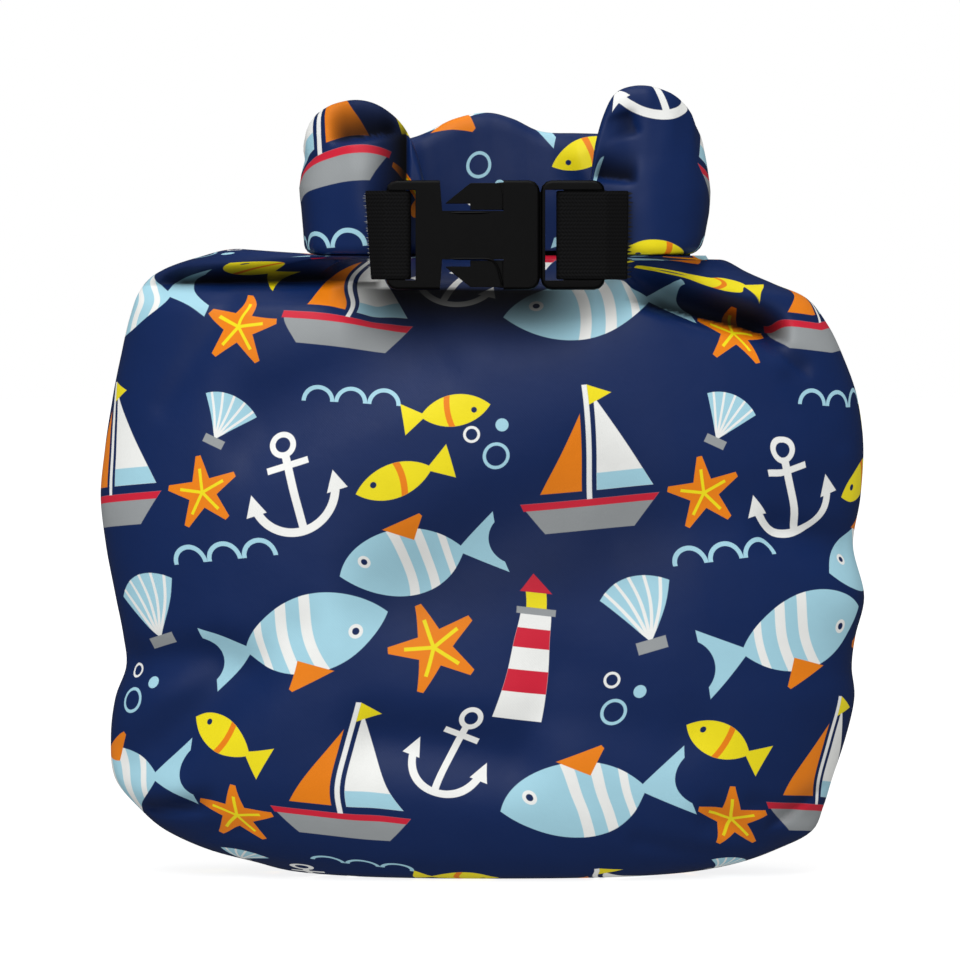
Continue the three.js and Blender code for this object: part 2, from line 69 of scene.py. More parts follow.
# Where the print starts along the roll, and how far it is shifted on the back panel
ROLL_PRINT_START = 90 * MM
BACK_PRINT_SHIFT = 45 * MM

STRAP_WIDTH = 30 * MM
STRAP_THICKNESS = 1.5 * MM
GAP = 0.3 * MM
BAR_THICKNESS = 3.2 * MM
# Edges that turn by more degrees are rounded
SHARP_EDGE = 28

# The bag's middle line stands this far from the frame's, because the frame centres the whole outline
BUCKLE_LEFT = -32.8 * MM
MIDDLE_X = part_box("buckle_socket")[0].x - BUCKLE_LEFT
MIDDLE_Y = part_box("buckle_socket")[1].y + ROLL_FRONT + GAP

# rise, lift left, lift right, left, right, front, back, gather, bay: the pouch's rings from the floor up
POUCH_ROWS = np.array([
    [0, 0, 0, 0.42, 0.48, 0.5, 0.52, 0, 0],
    [0.006, 0, 0, 0.52, 0.58, 0.62, 0.64, 0, 0],
    [0.019, 0, 0, 0.6, 0.68, 0.7, 0.72, 0, 0],
    [0.039, 0, 0, 0.72, 0.77, 0.78, 0.8, 0, 0],
    [0.069, 0, 0, 0.83, 0.86, 0.85, 0.87, 0, 0],
    [0.108, 0, 0, 0.905, 0.89, 0.91, 0.92, 0, 0],
    [0.155, 0, 0, 0.963, 0.913, 0.95, 0.96, 0, 0],
    [0.22, 0, 0, 0.972, 0.948, 0.98, 0.98, 0, 0],
    [0.285, 0, 0, 0.96, 0.972, 1, 1, 0, 0],
    [0.335, 0, 0, 0.933, 0.965, 1, 1, 0, 0],
    [0.385, 0, 0, 0.94, 0.975, 1, 1, 0, 0],
    [0.45, 0, 0, 0.96, 0.998, 0.99, 1, 0, 0],
    [0.53, 0, 0, 0.985, 0.97, 0.98, 0.98, 0, 0],
    [0.61, 0, 0, 1, 0.988, 0.96, 0.96, 0, 0],
    [0.69, 0, 0, 0.987, 0.995, 0.94, 0.94, 0, 0],
    [0.768, 0, 0, 0.966, 0.978, 0.91, 0.91, 0, 0],
    [0.838, 0, 0, 0.943, 0.94, 0.88, 0.87, 0, 0.03],
    [0.893, 0.003, -0.003, 0.922, 0.9, 0.84, 0.82, 0, 0.1],
    [0.938, 0.01, -0.009, 0.897, 0.85, 0.79, 0.76, 0.01, 0.24],
    [0.966, 0.014, -0.022, 0.855, 0.775, 0.74, 0.7, 0.04, 0.42],
    [0.985, 0.022, -0.024, 0.79, 0.71, 0.7, 0.66, 0.14, 0.62],
    [0.994, 0.042, -0.004, 0.73, 0.67, 0.68, 0.64, 0.38, 0.8],
    [0.993, 0.006, 0, 0.68, 0.64, 0.68, 0.64, 0.76, 0.94],
    [1, 0, 0, 0.68, 0.64, 0.68, 0.64, 1, 1],
])

# side, x1, z1, x2, z2, width, depth: folds of the pouch, along straight runs on the front, -1, or the back,
# 1. x is a share of half the width, z of the neck's height, width and depth of half the depth
POUCH_FOLDS = [
    (-1, -0.9, 0.95, -0.42, 0.95, 0.09, 0.12),
    (-1, -0.34, 0.945, -0.28, 0.925, 0.12, 0.14),
    (-1, 0.4, 0.955, 0.74, 0.875, 0.11, 0.17),
    (-1, -0.57, 0.755, -0.22, 0.865, 0.24, 0.09),
    (-1, -0.24, 0.46, 0.28, 0.65, 0.3, 0.07),
    (-1, -0.28, 0.235, 0.1, 0.22, 0.24, 0.07),
    (-1, -0.9, 0.185, -0.63, 0.34, 0.2, 0.11),
    (-1, 0.79, 0.04, 0.6, 0.1, 0.12, 0.09),
    (-1, -0.95, 0.345, -0.7, 0.365, 0.14, 0.1),
    (-1, 0.98, 0.53, 0.76, 0.56, 0.13, 0.1),
    (-1, 0.2, 0.33, 0.55, 0.25, 0.25, 0.05),
    (1, -0.7, 0.9, -0.35, 0.7, 0.18, 0.1),
    (1, 0.66, 0.88, 0.4, 0.66, 0.18, 0.1),
    (1, -0.85, 0.2, -0.5, 0.33, 0.22, 0.09),
    (1, 0.84, 0.17, 0.52, 0.3, 0.22, 0.09),
]

# The same columns, for the finer creases that stay out of the frame's solid
POUCH_CREASES = [
    (-1, -0.65, 0.93, -0.82, 0.76, 0.1, 0.03),
    (-1, 0.8, 0.8, 0.92, 0.7, 0.09, 0.03),
    (-1, -0.6, 0.69, -0.12, 0.83, 0.2, 0.06),
    (-1, 0.36, 0.56, 0.86, 0.6, 0.26, 0.05),
    (-1, -0.26, 0.23, 0.06, 0.19, 0.2, 0.06),
    (-1, -0.8, 0.2, -0.5, 0.4, 0.18, 0.05),
    (-1, 0.16, 0.27, 0.48, 0.22, 0.18, 0.04),
    (-1, -0.93, 0.09, -0.72, 0.13, 0.07, 0.05),
    (-1, -0.8, 0.06, -0.6, 0.085, 0.06, 0.03),
    (-1, 0.86, 0.095, 0.7, 0.12, 0.07, 0.05),
    (-1, 0.66, 0.03, 0.4, 0.065, 0.07, 0.03),
    (1, -0.5, 0.92, -0.6, 0.78, 0.08, 0.05),
    (1, 0.1, 0.94, 0.06, 0.8, 0.08, 0.05),
    (1, 0.44, 0.93, 0.56, 0.79, 0.08, 0.05),
    (1, -0.9, 0.42, -0.7, 0.45, 0.09, 0.05),
    (1, 0.92, 0.38, 0.72, 0.42, 0.09, 0.05),
]

# side, x1, z1, x2, z2, width, depth, lip, shade: sharp folds, where one cloth stands over the next, a shallow
# band just under the buckle and one broad dip. The run is the lip's edge, and the valley lies to its left,
# seen from outside on the front, as wide as given. The lip's width is in millimetres, and shade is painted
# shade: how far the valley's colour is darkened, from 0 to 1
POUCH_LEDGES = [
    (-1, -0.93, 0.952, -0.28, 0.962, 0.11, 0.26, 1.5, 0.95),
    # Painted shadow under the left strap's lower corner
    (-1, -0.262, 0.958, -0.345, 0.956, 0.06, 0.05, 0.8, 0.8),
    (-1, 0.36, 0.932, 0.8, 0.862, 0.16, 0.28, 1.5, 0.95),
    # Painted shadow just under the buckle: a wide band darkened below it, barely dented
    (-1, 0.29, 0.945, -0.37, 0.945, 0.33, 0.07, 2, 0.98),
    # Painted shade over a broad, shallow dip across the front's middle
    (-1, -0.4, 0.45, 0.56, 0.56, 0.52, 0.09, 40, 0.26),
    (-1, 0.7, 0.88, 0.86, 0.8, 0.09, 0.05, 1.7, 0.2),
    (-1, -0.9, 0.105, -0.7, 0.12, 0.07, 0.06, 1.7, 0.3),
    (-1, 0.72, 0.075, 0.9, 0.15, 0.07, 0.05, 1.7, 0.3),
    (1, -0.3, 0.95, -0.8, 0.94, 0.12, 0.12, 1.7, 0.6),
    (1, 0.8, 0.88, 0.3, 0.94, 0.12, 0.12, 1.7, 0.6),
]
# The same columns for the roll's ears: their shade is painted shade in the folds' valleys
ROLL_LEDGES = [
    (-1, -0.4, 1.182, -0.19, 1.2, 0.22, 0.1, 1.2, 0.92),
    (-1, -0.2, 1.06, -0.195, 1.225, 0.19, 0.11, 0.8, 1),
    (-1, 0.395, 1.19, 0.37, 1.235, 0.12, 0.05, 1.5, 0.5),
    (-1, 0.28, 1.128, 0.4, 1.12, 0.13, 0.07, 1.5, 0.88),
]

# The folds' columns, for the dents and creases of the roll, which start above the neck
ROLL_FOLDS = [
    (-1, -0.31, 1.13, -0.3, 1.06, 0.14, -0.04),
    (-1, 0.38, 1.21, 0.385, 1.165, 0.12, 0.03),
    (-1, 0.31, 1.125, 0.36, 1.105, 0.12, 0.03),
    (-1, 0.46, 1.15, 0.52, 1.06, 0.14, 0.02),
    (1, -0.3, 1.18, -0.2, 1.06, 0.1, 0.05),
    (1, 0.25, 1.16, 0.33, 1.05, 0.1, 0.05),
]

# Level, outward: how the roll's left side, -1, and right side, 1, swell and draw in. Level is a share of
# the roll's height, outward is in millimetres
ROLL_SIDES = [
    (-1, [(0, -3.2), (0.15, -2.6), (0.29, -1.9), (0.4, -1.1), (0.48, -1.4), (0.57, -2.2),
          (0.64, -1), (0.72, 0)]),
    (1, [(0, -4.5), (0.05, -3.2), (0.11, -2.1), (0.25, -0.6), (0.38, 0), (0.55, -0.4), (0.7, -1)]),
]

# across, deep, top: the middle of the bent roll, from its left front end round the back to its right front
# end
ROLL_ROWS = np.array([
    [-0.41, 0, 0.42], [-0.45, 0, 0.6], [-0.53, 0, 0.78], [-0.66, 0, 0.9],
    [-0.8, 0.03, 0.925], [-0.95, 0.14, 0.86], [-1, 0.34, 0.74], [-0.98, 0.56, 0.68],
    [-0.8, 0.8, 0.66], [-0.48, 0.94, 0.71], [-0.26, 0.98, 0.83], [-0.09, 1, 0.87],
    [0.05, 1, 0.83], [0.2, 1, 0.75], [0.39, 0.97, 0.735], [0.62, 0.88, 0.72],
    [0.86, 0.72, 0.71], [0.99, 0.46, 0.7], [0.985, 0.24, 0.8], [0.92, 0.1, 0.92],
    [0.8, 0.02, 0.985], [0.68, 0, 1], [0.58, 0, 0.96], [0.52, 0, 0.84],
    [0.475, 0, 0.66], [0.45, 0, 0.45],
])

# The buckle's small mouldings, in millimetres across from the bag's middle line and up from the buckle's
# middle. Each plate has an outline, the depths of its front and back from the buckle's face, and its edges'
# rounding
BUCKLE_PLATES = [
    ("upper_arm_root", [(-3.0, 8.6), (9.8, 8.6), (9.8, 18.1), (4.2, 17.6)], 1.0, 6.0, 0.3),
    ("lower_arm_root", [(-3.0, -8.6), (9.8, -8.6), (9.8, -18.1), (4.2, -17.6)], 1.0, 6.0, 0.3),
]
# Each bead has its middle line and its radius
BUCKLE_BEADS = [
    ("upper_bead", [(-11.4, 7.5), (-4.0, 7.5), (2.4, 7.6)], 0.45),
    ("lower_bead", [(-11.8, -8.0), (-4.0, -8.0), (2.4, -8.2), (4.6, -10.2), (6.0, -14.6), (6.7, -17.4)], 0.4),
]

# How finely the pouch's and the roll's curves are sampled before their even steps are found
TURN_STEPS = 1441
LEVEL_STEPS = 1500
LINE_STEPS = 4000
ROLL_STEPS = 600

# Places in the photograph, in its pixels, and what one of them measures at the bag's middle
PIXEL = 0.345 * MM
PHOTO_SIZE = 960
PHOTO_MIDDLE = 482.6
PHOTO_FLOOR = 873
CAMERA_DISTANCE = 2.4
CAMERA_ELEVATION = math.radians(2)
ROOM_LIGHT = 0.58
ROOM_GLOSS = 0.07


def linear(red, green, blue):
    """A display colour of 0 to 255 as linear light, by the usual 2.2 power."""
    return tuple((channel / 255) ** 2.2 for channel in (red, green, blue)) + (1,)


NAVY = linear(17, 42, 90)
SKY = linear(163, 210, 226)
WHITE = linear(240, 241, 238)
GREY = linear(150, 154, 156)
ORANGE = linear(236, 128, 14)
YELLOW = linear(240, 222, 24)
RED = linear(208, 34, 58)


def make_camera():
    """The camera stands level with the bag's lower half and looks slightly down, as the photograph does."""
    data = bpy.data.cameras.new("photo_camera")
    data.sensor_width = 36
    data.lens = data.sensor_width * CAMERA_DISTANCE / (PHOTO_SIZE * PIXEL)
    camera = bpy.data.objects.new("photo_camera", data)
    bpy.context.scene.collection.objects.link(camera)
    half = PHOTO_SIZE / 2
    aim = Vector(((half - PHOTO_MIDDLE) * PIXEL, 0, (PHOTO_FLOOR - half) * PIXEL))
    back = Vector((0, -math.cos(CAMERA_ELEVATION), math.sin(CAMERA_ELEVATION)))
    camera.location = aim + CAMERA_DISTANCE * back
    camera.rotation_euler = (math.pi / 2 - CAMERA_ELEVATION, 0, 0)
    bpy.context.scene.camera = camera


def make_studio():
    """A pale floor that glows with painted light, dimmer near the bag, in a room that looks white and lights
    the bag less, and three soft lights.
    """
    scene = bpy.context.scene
    scene.view_settings.view_transform = "Standard"
    world = bpy.data.worlds.new("white_room")
    world.use_nodes = True
    tree = world.node_tree
    seen = tree.nodes.new("ShaderNodeLightPath")
    room = tree.nodes.new("ShaderNodeMath")
    room.operation = "MULTIPLY_ADD"
    room.inputs[1].default_value = ROOM_GLOSS - ROOM_LIGHT
    room.inputs[2].default_value = ROOM_LIGHT
    tree.links.new(seen.outputs["Is Glossy Ray"], room.inputs[0])
    strength = tree.nodes.new("ShaderNodeMath")
    strength.operation = "MAXIMUM"
    tree.links.new(seen.outputs["Is Camera Ray"], strength.inputs[0])
    tree.links.new(room.outputs[0], strength.inputs[1])
    tree.links.new(strength.outputs[0], tree.nodes["Background"].inputs["Strength"])
    tree.nodes["Background"].inputs["Color"].default_value = (1, 1, 1, 1)
    scene.world = world

    bpy.ops.mesh.primitive_plane_add(size=14)
    floor = bpy.context.object
    floor.name = "studio_floor"
    paint = bpy.data.materials.new("studio_floor")
    paint.use_nodes = True
    shader = paint.node_tree.nodes["Principled BSDF"]
    shader.inputs["Base Color"].default_value = (0.25, 0.25, 0.25, 1)
    shader.inputs["Roughness"].default_value = 0.9
    # Painted glow: the floor gives off its own light, dimmer within 0.3 m of its middle under the bag and
    # brightening farther out
    place = paint.node_tree.nodes.new("ShaderNodeTexCoord").outputs["Object"]
    reach = Sketch(paint.node_tree, place).disc(0, 0, 0.3)
    painted_floor_glow = spread(paint.node_tree, reach, 0.86, 1.02)
    paint.node_tree.links.new(painted_floor_glow, shader.inputs["Emission Strength"])
    shader.inputs["Emission Color"].default_value = (1, 1, 1, 1)
    floor.data.materials.append(paint)
    floor.visible_diffuse = False
    floor.visible_glossy = False

    lights = [
        ("key_softbox", (-0.4, -1.5, 2.2), 1.8, 32),
        ("front_softbox", (-0.35, -2.3, 0.95), 2.2, 14),
        ("top_softbox", (0.1, 0.5, 1.9), 1.2, 5),
    ]
    for name, place, size, power in lights:
        data = bpy.data.lights.new(name, "AREA")
        data.size = size
        data.energy = power
        lamp = bpy.data.objects.new(name, data)
        lamp.location = place
        aim = Vector((0, 0, 0.13)) - Vector(place)
        lamp.rotation_euler = aim.to_track_quat("-Z", "Y").to_euler()
        scene.collection.objects.link(lamp)


def feed(tree, socket, value):
    """Links an input to another node's output, or sets it to a number or a colour."""
    if isinstance(value, bpy.types.NodeSocket):
        tree.links.new(value, socket)
    else:
        socket.default_value = value


class Sketch:
    """Draws flat shapes in a node tree. A shape is a signed distance in millimetres, below nothing
    inside."""

    EDGE = 0.25

    def __init__(self, tree, point):
        self.tree = tree
        self.point = point
        self.colour = None

    def math(self, operation, first, second=0.0, third=0.0):
        node = self.tree.nodes.new("ShaderNodeMath")
        node.operation = operation
        for socket, value in zip(node.inputs, (first, second, third)):
            feed(self.tree, socket, value)
        return node.outputs[0]

    def vector(self, operation, first, second, out=0):
        node = self.tree.nodes.new("ShaderNodeVectorMath")
        node.operation = operation
        for socket, value in zip(node.inputs, (first, second)):
            feed(self.tree, socket, value)
        return node.outputs[out]

    def split(self, vector):
        node = self.tree.nodes.new("ShaderNodeSeparateXYZ")
        self.tree.links.new(vector, node.inputs[0])
        return node.outputs[0], node.outputs[1]

    def disc(self, x, y, radius):
        """The distance from a centre, less the radius."""
        return self.math("SUBTRACT", self.vector("DISTANCE", self.point, (x, y, 0), out=1), radius)

    def polygon(self, *corners):
        """A convex outline, corners anticlockwise: the greatest distance past any edge."""
        shape = None
        for (x1, y1), (x2, y2) in zip(corners, corners[1:] + corners[:1]):
            length = math.hypot(x2 - x1, y2 - y1)
            normal = ((y2 - y1) / length, (x1 - x2) / length, 0)
            past = self.vector("DOT_PRODUCT", self.point, normal, out=1)
            edge = self.math("SUBTRACT", past, normal[0] * x1 + normal[1] * y1)
            shape = edge if shape is None else self.both(shape, edge)
        return shape

    def box(self, x1, y1, x2, y2):
        return self.polygon((x1, y1), (x2, y1), (x2, y2), (x1, y2))

    def below(self, height):
        return self.math("SUBTRACT", self.split(self.point)[1], height)

    def above(self, height):
        return self.math("SUBTRACT", height, self.split(self.point)[1])

    def both(self, first, second):
        return self.math("MAXIMUM", first, second)

    def either(self, first, second):
        return self.math("MINIMUM", first, second)

    def less(self, shape, hole):
        """A shape with a hole cut in it."""
        return self.both(shape, self.math("MULTIPLY", hole, -1))

    def line(self, shape, width):
        """A line of a width along a shape's edge."""
        return self.math("SUBTRACT", self.math("ABSOLUTE", shape), width / 2)

    def paint(self, shape, colour):
        """Lays a colour over what is drawn so far, with a soft edge."""
        cover = self.math("MULTIPLY_ADD", shape, -1 / self.EDGE, 0.5)
        self.tree.nodes[-1].use_clamp = True
        self.colour = mix_colour(self.tree, cover, self.colour, colour)


def mix_colour(tree, share, under, over):
    """A mix of two colours, each a socket or a fixed colour."""
    node = tree.nodes.new("ShaderNodeMix")
    node.data_type = "RGBA"
    tree.links.new(share, node.inputs["Factor"])
    feed(tree, node.inputs[6], under)
    feed(tree, node.inputs[7], over)
    return node.outputs[2]


def draw_sailboat(ink):
    ink.paint(ink.polygon((-16, -23), (15, -23), (24, -12), (-24, -12)), GREY)
    ink.paint(ink.polygon((-23, -14.5), (22, -14.5), (24, -12), (-24, -12)), RED)
    ink.paint(ink.box(-0.9, -12, 0.9, 28), WHITE)
    ink.paint(ink.polygon((2.6, -9), (22, -9), (2.6, 24)), WHITE)
    ink.paint(ink.polygon((2.6, -9), (22, -9), (18.5, -3), (2.6, -3)), SKY)
    ink.paint(ink.polygon((-2.6, -9), (-2.6, 18), (-17, -9)), ORANGE)
    ink.paint(ink.polygon((0.9, 28), (0.9, 21), (9, 24.5)), YELLOW)


def draw_fish(ink):
    body = ink.both(ink.disc(-4, -20, 34), ink.disc(-4, 20, 34))
    tail = ink.less(ink.polygon((20, 0), (38, -13), (38, 13)), ink.disc(45, 0, 11))
    ink.paint(ink.either(body, tail), SKY)
    ink.paint(ink.both(body, ink.line(ink.disc(-40, 0, 38), 4)), WHITE)
    ink.paint(ink.both(body, ink.line(ink.disc(-40, 0, 47), 4)), WHITE)
    ink.paint(ink.both(body, ink.line(ink.disc(-40, 0, 56), 3)), WHITE)
    ink.paint(ink.both(ink.polygon((-8, 15), (4, 8), (10, 19)), ink.disc(-4, 8, 16)), ORANGE)
    ink.paint(ink.disc(-19, 3.5, 2.6), WHITE)
    ink.paint(ink.disc(-19, 3.5, 1.3), NAVY)


def draw_small_fish(ink):
    body = ink.both(ink.disc(-2, -12, 18), ink.disc(-2, 12, 18))
    tail = ink.polygon((9, 0), (18, -6), (18, 6))
    ink.paint(ink.either(body, tail), YELLOW)
    ink.paint(ink.both(body, ink.line(ink.disc(-20, 0, 21), 2.2)), ORANGE)
    ink.paint(ink.disc(-9, 1, 1.1), NAVY)


def draw_starfish(ink):
    """Five arms: the angle is folded into half an arm, where one straight edge bounds the shape."""
    x, y = ink.split(ink.point)
    angle = ink.math("ARCTAN2", y, x)
    half_arm = math.pi / 5
    folded = ink.math("ABSOLUTE", ink.math("WRAP", angle, half_arm, -half_arm))
    reach = ink.vector("LENGTH", ink.point, (0, 0, 0), out=1)
    tip, waist = 17, 7
    x1, y1 = tip, 1.2
    x2, y2 = waist * math.cos(half_arm), waist * math.sin(half_arm)
    length = math.hypot(x2 - x1, y2 - y1)
    normal = ((y2 - y1) / length, (x1 - x2) / length)
    along = ink.math("MULTIPLY", reach, ink.math("COSINE", folded))
    aside = ink.math("MULTIPLY", reach, ink.math("SINE", folded))
    past = ink.math("ADD", ink.math("MULTIPLY", along, normal[0]), ink.math("MULTIPLY", aside, normal[1]))
    edge = ink.math("SUBTRACT", past, normal[0] * x1 + normal[1] * y1)
    ink.paint(ink.both(edge, ink.disc(0, 0, tip)), ORANGE)
    ink.paint(ink.both(ink.math("SUBTRACT", aside, 0.7), ink.disc(0, 0, 11)), YELLOW)


def draw_anchor(ink):
    ink.paint(ink.line(ink.disc(0, 18, 4), 2.2), WHITE)
    ink.paint(ink.box(-1.5, -16, 1.5, 14.5), WHITE)
    ink.paint(ink.box(-8, 8.5, 8, 11), WHITE)
    ink.paint(ink.both(ink.line(ink.disc(0, 0, 16), 3.2), ink.below(-4)), WHITE)
    ink.paint(ink.polygon((12, -5), (20, -5), (16, 3)), WHITE)
    ink.paint(ink.polygon((-20, -5), (-12, -5), (-16, 3)), WHITE)


def draw_lighthouse(ink):
    tower = ink.polygon((-9, -26), (9, -26), (5.5, 12), (-5.5, 12))
    ink.paint(tower, WHITE)
    ink.paint(ink.both(tower, ink.both(ink.above(-16), ink.below(-8))), RED)
    ink.paint(ink.both(tower, ink.both(ink.above(0), ink.below(7))), RED)
    ink.paint(ink.box(-7, 12, 7, 14.4), GREY)
    ink.paint(ink.box(-3.6, 14.4, 3.6, 20), YELLOW)
    ink.paint(ink.polygon((-5.6, 20), (5.6, 20), (0, 27)), RED)


def draw_shell(ink):
    """A fan with ribs: the angle about the hinge is folded at each rib."""
    x, y = ink.split(ink.point)
    fan = ink.both(ink.disc(0, -8, 20), ink.polygon((0, -10), (17, 14), (0, 24), (-17, 14)))
    ink.paint(fan, SKY)
    angle = ink.math("ARCTAN2", x, ink.math("ADD", y, 10))
    rib = 0.24
    folded = ink.math("ABSOLUTE", ink.math("WRAP", angle, rib / 2, -rib / 2))
    reach = ink.vector("DISTANCE", ink.point, (0, -10, 0), out=1)
    ink.paint(ink.both(fan, ink.math("SUBTRACT", ink.math("MULTIPLY", folded, reach), 0.55)), WHITE)
    ink.paint(ink.box(-5, -13, 5, -9), GREY)


def draw_wave(ink):
    """A row of arches: x is folded into one arch's width."""
    x, y = ink.split(ink.point)
    folded = ink.math("WRAP", x, 8, -8)
    arch = ink.math("SQRT", ink.math("ADD", ink.math("MULTIPLY", folded, folded), ink.math("MULTIPLY", y, y)))
    ring = ink.line(ink.math("SUBTRACT", arch, 7), 2)
    ink.paint(ink.both(ink.both(ring, ink.above(0)), ink.box(-24, -2, 24, 10)), SKY)


def draw_bubbles(ink):
    ink.paint(ink.line(ink.disc(0, 0, 4), 1.1), SKY)
    ink.paint(ink.disc(8, 7, 2.2), SKY)
    ink.paint(ink.line(ink.disc(-2, 11, 2.4), 0.9), WHITE)


# The print repeats every so many millimetres each way. In one repeat: the drawing, its place, its turn in
# degrees and its size
REPEAT = 172
PRINT = [
    (draw_fish, 37, 28, 9, 0.95),
    (draw_starfish, 88, 18, 12, 0.78),
    (draw_sailboat, 126, 34, -6, 0.98),
    (draw_anchor, 163, 42, -20, 0.80),
    (draw_small_fish, 84, 47, -24, 0.98),
    (draw_bubbles, 44, 58, 0, 1.00),
    (draw_lighthouse, 14, 80, -6, 0.95),
    (draw_shell, 52, 92, 16, 1.05),
    (draw_fish, 108, 84, 196, 0.95),
    (draw_starfish, 153, 80, 40, 0.92),
    (draw_wave, 84, 110, 6, 0.80),
    (draw_sailboat, 36, 143, 5, 0.98),
    (draw_starfish, 76, 133, 30, 0.75),
    (draw_anchor, 108, 134, 18, 0.90),
    (draw_fish, 148, 110, 12, 0.82),
    (draw_small_fish, 144, 138, 20, 1.00),
    (draw_bubbles, 4, 146, 40, 1.00),
    (draw_shell, 82, 158, -24, 0.75),
    (draw_wave, 126, 164, -4, 0.72),
    (draw_small_fish, 160, 161, 190, 0.90),
]


def new_group(name, inputs, outputs):
    """An empty node group with named sockets. Each is a name and a socket type."""
    tree = bpy.data.node_groups.new(name, "ShaderNodeTree")
    for label, kind in inputs:
        tree.interface.new_socket(label, in_out="INPUT", socket_type=kind)
    for label, kind in outputs:
        tree.interface.new_socket(label, in_out="OUTPUT", socket_type=kind)
    return tree, tree.nodes.new("NodeGroupInput"), tree.nodes.new("NodeGroupOutput")


def drawing_group(draw):
    """A motif as a group: a point in millimetres and the colour under it in, the colour over it out."""
    name = draw.__name__.replace("draw_", "motif_")
    if name in bpy.data.node_groups:
        return bpy.data.node_groups[name]
    tree, start, end = new_group(
        name, [("Point", "NodeSocketVector"), ("Ground", "NodeSocketColor")], [("Colour", "NodeSocketColor")])
    ink = Sketch(tree, start.outputs["Point"])
    ink.colour = start.outputs["Ground"]
    draw(ink)
    tree.links.new(ink.colour, end.inputs["Colour"])
    return tree


def print_group():
    """The whole print on a cloth place in metres. For each motif the place is measured from the motif,
    wrapped into one repeat about it, turned and scaled, and what is drawn there is laid over what lies
    under it."""
    tree, start, end = new_group(
        "seaside_print", [("Cloth place", "NodeSocketVector"), ("Ground", "NodeSocketColor")],
        [("Colour", "NodeSocketColor")])
    nodes, links = tree.nodes, tree.links
    in_mm = nodes.new("ShaderNodeVectorMath")
    in_mm.operation = "SCALE"
    in_mm.inputs["Scale"].default_value = 1 / MM
    links.new(start.outputs["Cloth place"], in_mm.inputs[0])
    colour = start.outputs["Ground"]
    ink = Sketch(tree, in_mm.outputs[0])
    for draw, x, y, turn, size in PRINT:
        wrap = nodes.new("ShaderNodeVectorMath")
        wrap.operation = "WRAP"
        links.new(ink.vector("SUBTRACT", ink.point, (x, y, 0)), wrap.inputs[0])
        wrap.inputs[1].default_value = (REPEAT / 2, REPEAT / 2, 1)
        wrap.inputs[2].default_value = (-REPEAT / 2, -REPEAT / 2, -1)
        place = nodes.new("ShaderNodeMapping")
        place.vector_type = "TEXTURE"
        place.inputs["Rotation"].default_value = (0, 0, math.radians(turn))
        place.inputs["Scale"].default_value = (size, size, 1)
        links.new(wrap.outputs[0], place.inputs["Vector"])
        motif = nodes.new("ShaderNodeGroup")
        motif.node_tree = drawing_group(draw)
        links.new(place.outputs[0], motif.inputs["Point"])
        links.new(colour, motif.inputs["Ground"])
        colour = motif.outputs["Colour"]
    links.new(colour, end.inputs["Colour"])
    return tree


def weave_group():
    """Two crossed waves over the cloth's own place, in threads a given spacing apart."""
    tree, start, end = new_group(
        "thread_weave", [("Cloth place", "NodeSocketVector"), ("Spacing", "NodeSocketFloat")],
        [("Height", "NodeSocketFloat")])
    ink = Sketch(tree, start.outputs["Cloth place"])
    x, y = ink.split(start.outputs["Cloth place"])
    turns = ink.math("DIVIDE", 2 * math.pi, start.outputs["Spacing"])
    warp = ink.math("SINE", ink.math("MULTIPLY", x, turns))
    weft = ink.math("SINE", ink.math("MULTIPLY", y, turns))
    tree.links.new(ink.math("MULTIPLY_ADD", ink.math("MULTIPLY", warp, weft), 0.5, 0.5), end.inputs["Height"])
    return tree


def noise(tree, place, scale, detail=3.0):
    node = tree.nodes.new("ShaderNodeTexNoise")
    node.inputs["Scale"].default_value = scale
    node.inputs["Detail"].default_value = detail
    tree.links.new(place, node.inputs["Vector"])
    return node.outputs["Fac"]


def spread(tree, value, low, high):
    """A value of 0 to 1 spread between two others."""
    node = tree.nodes.new("ShaderNodeMapRange")
    node.inputs["To Min"].default_value = low
    node.inputs["To Max"].default_value = high
    tree.links.new(value, node.inputs["Value"])
    return node.outputs["Result"]


def bump(tree, height, strength, distance, under=None):
    node = tree.nodes.new("ShaderNodeBump")
    node.inputs["Strength"].default_value = strength
    node.inputs["Distance"].default_value = distance
    tree.links.new(height, node.inputs["Height"])
    if under is not None:
        tree.links.new(under, node.inputs["Normal"])
    return node.outputs["Normal"]


def new_material(name):
    material = bpy.data.materials.new(name)
    material.use_nodes = True
    return material, material.node_tree, material.node_tree.nodes["Principled BSDF"]


def cloth_place(tree):
    node = tree.nodes.new("ShaderNodeUVMap")
    node.uv_map = "cloth"
    return node.outputs["UV"]


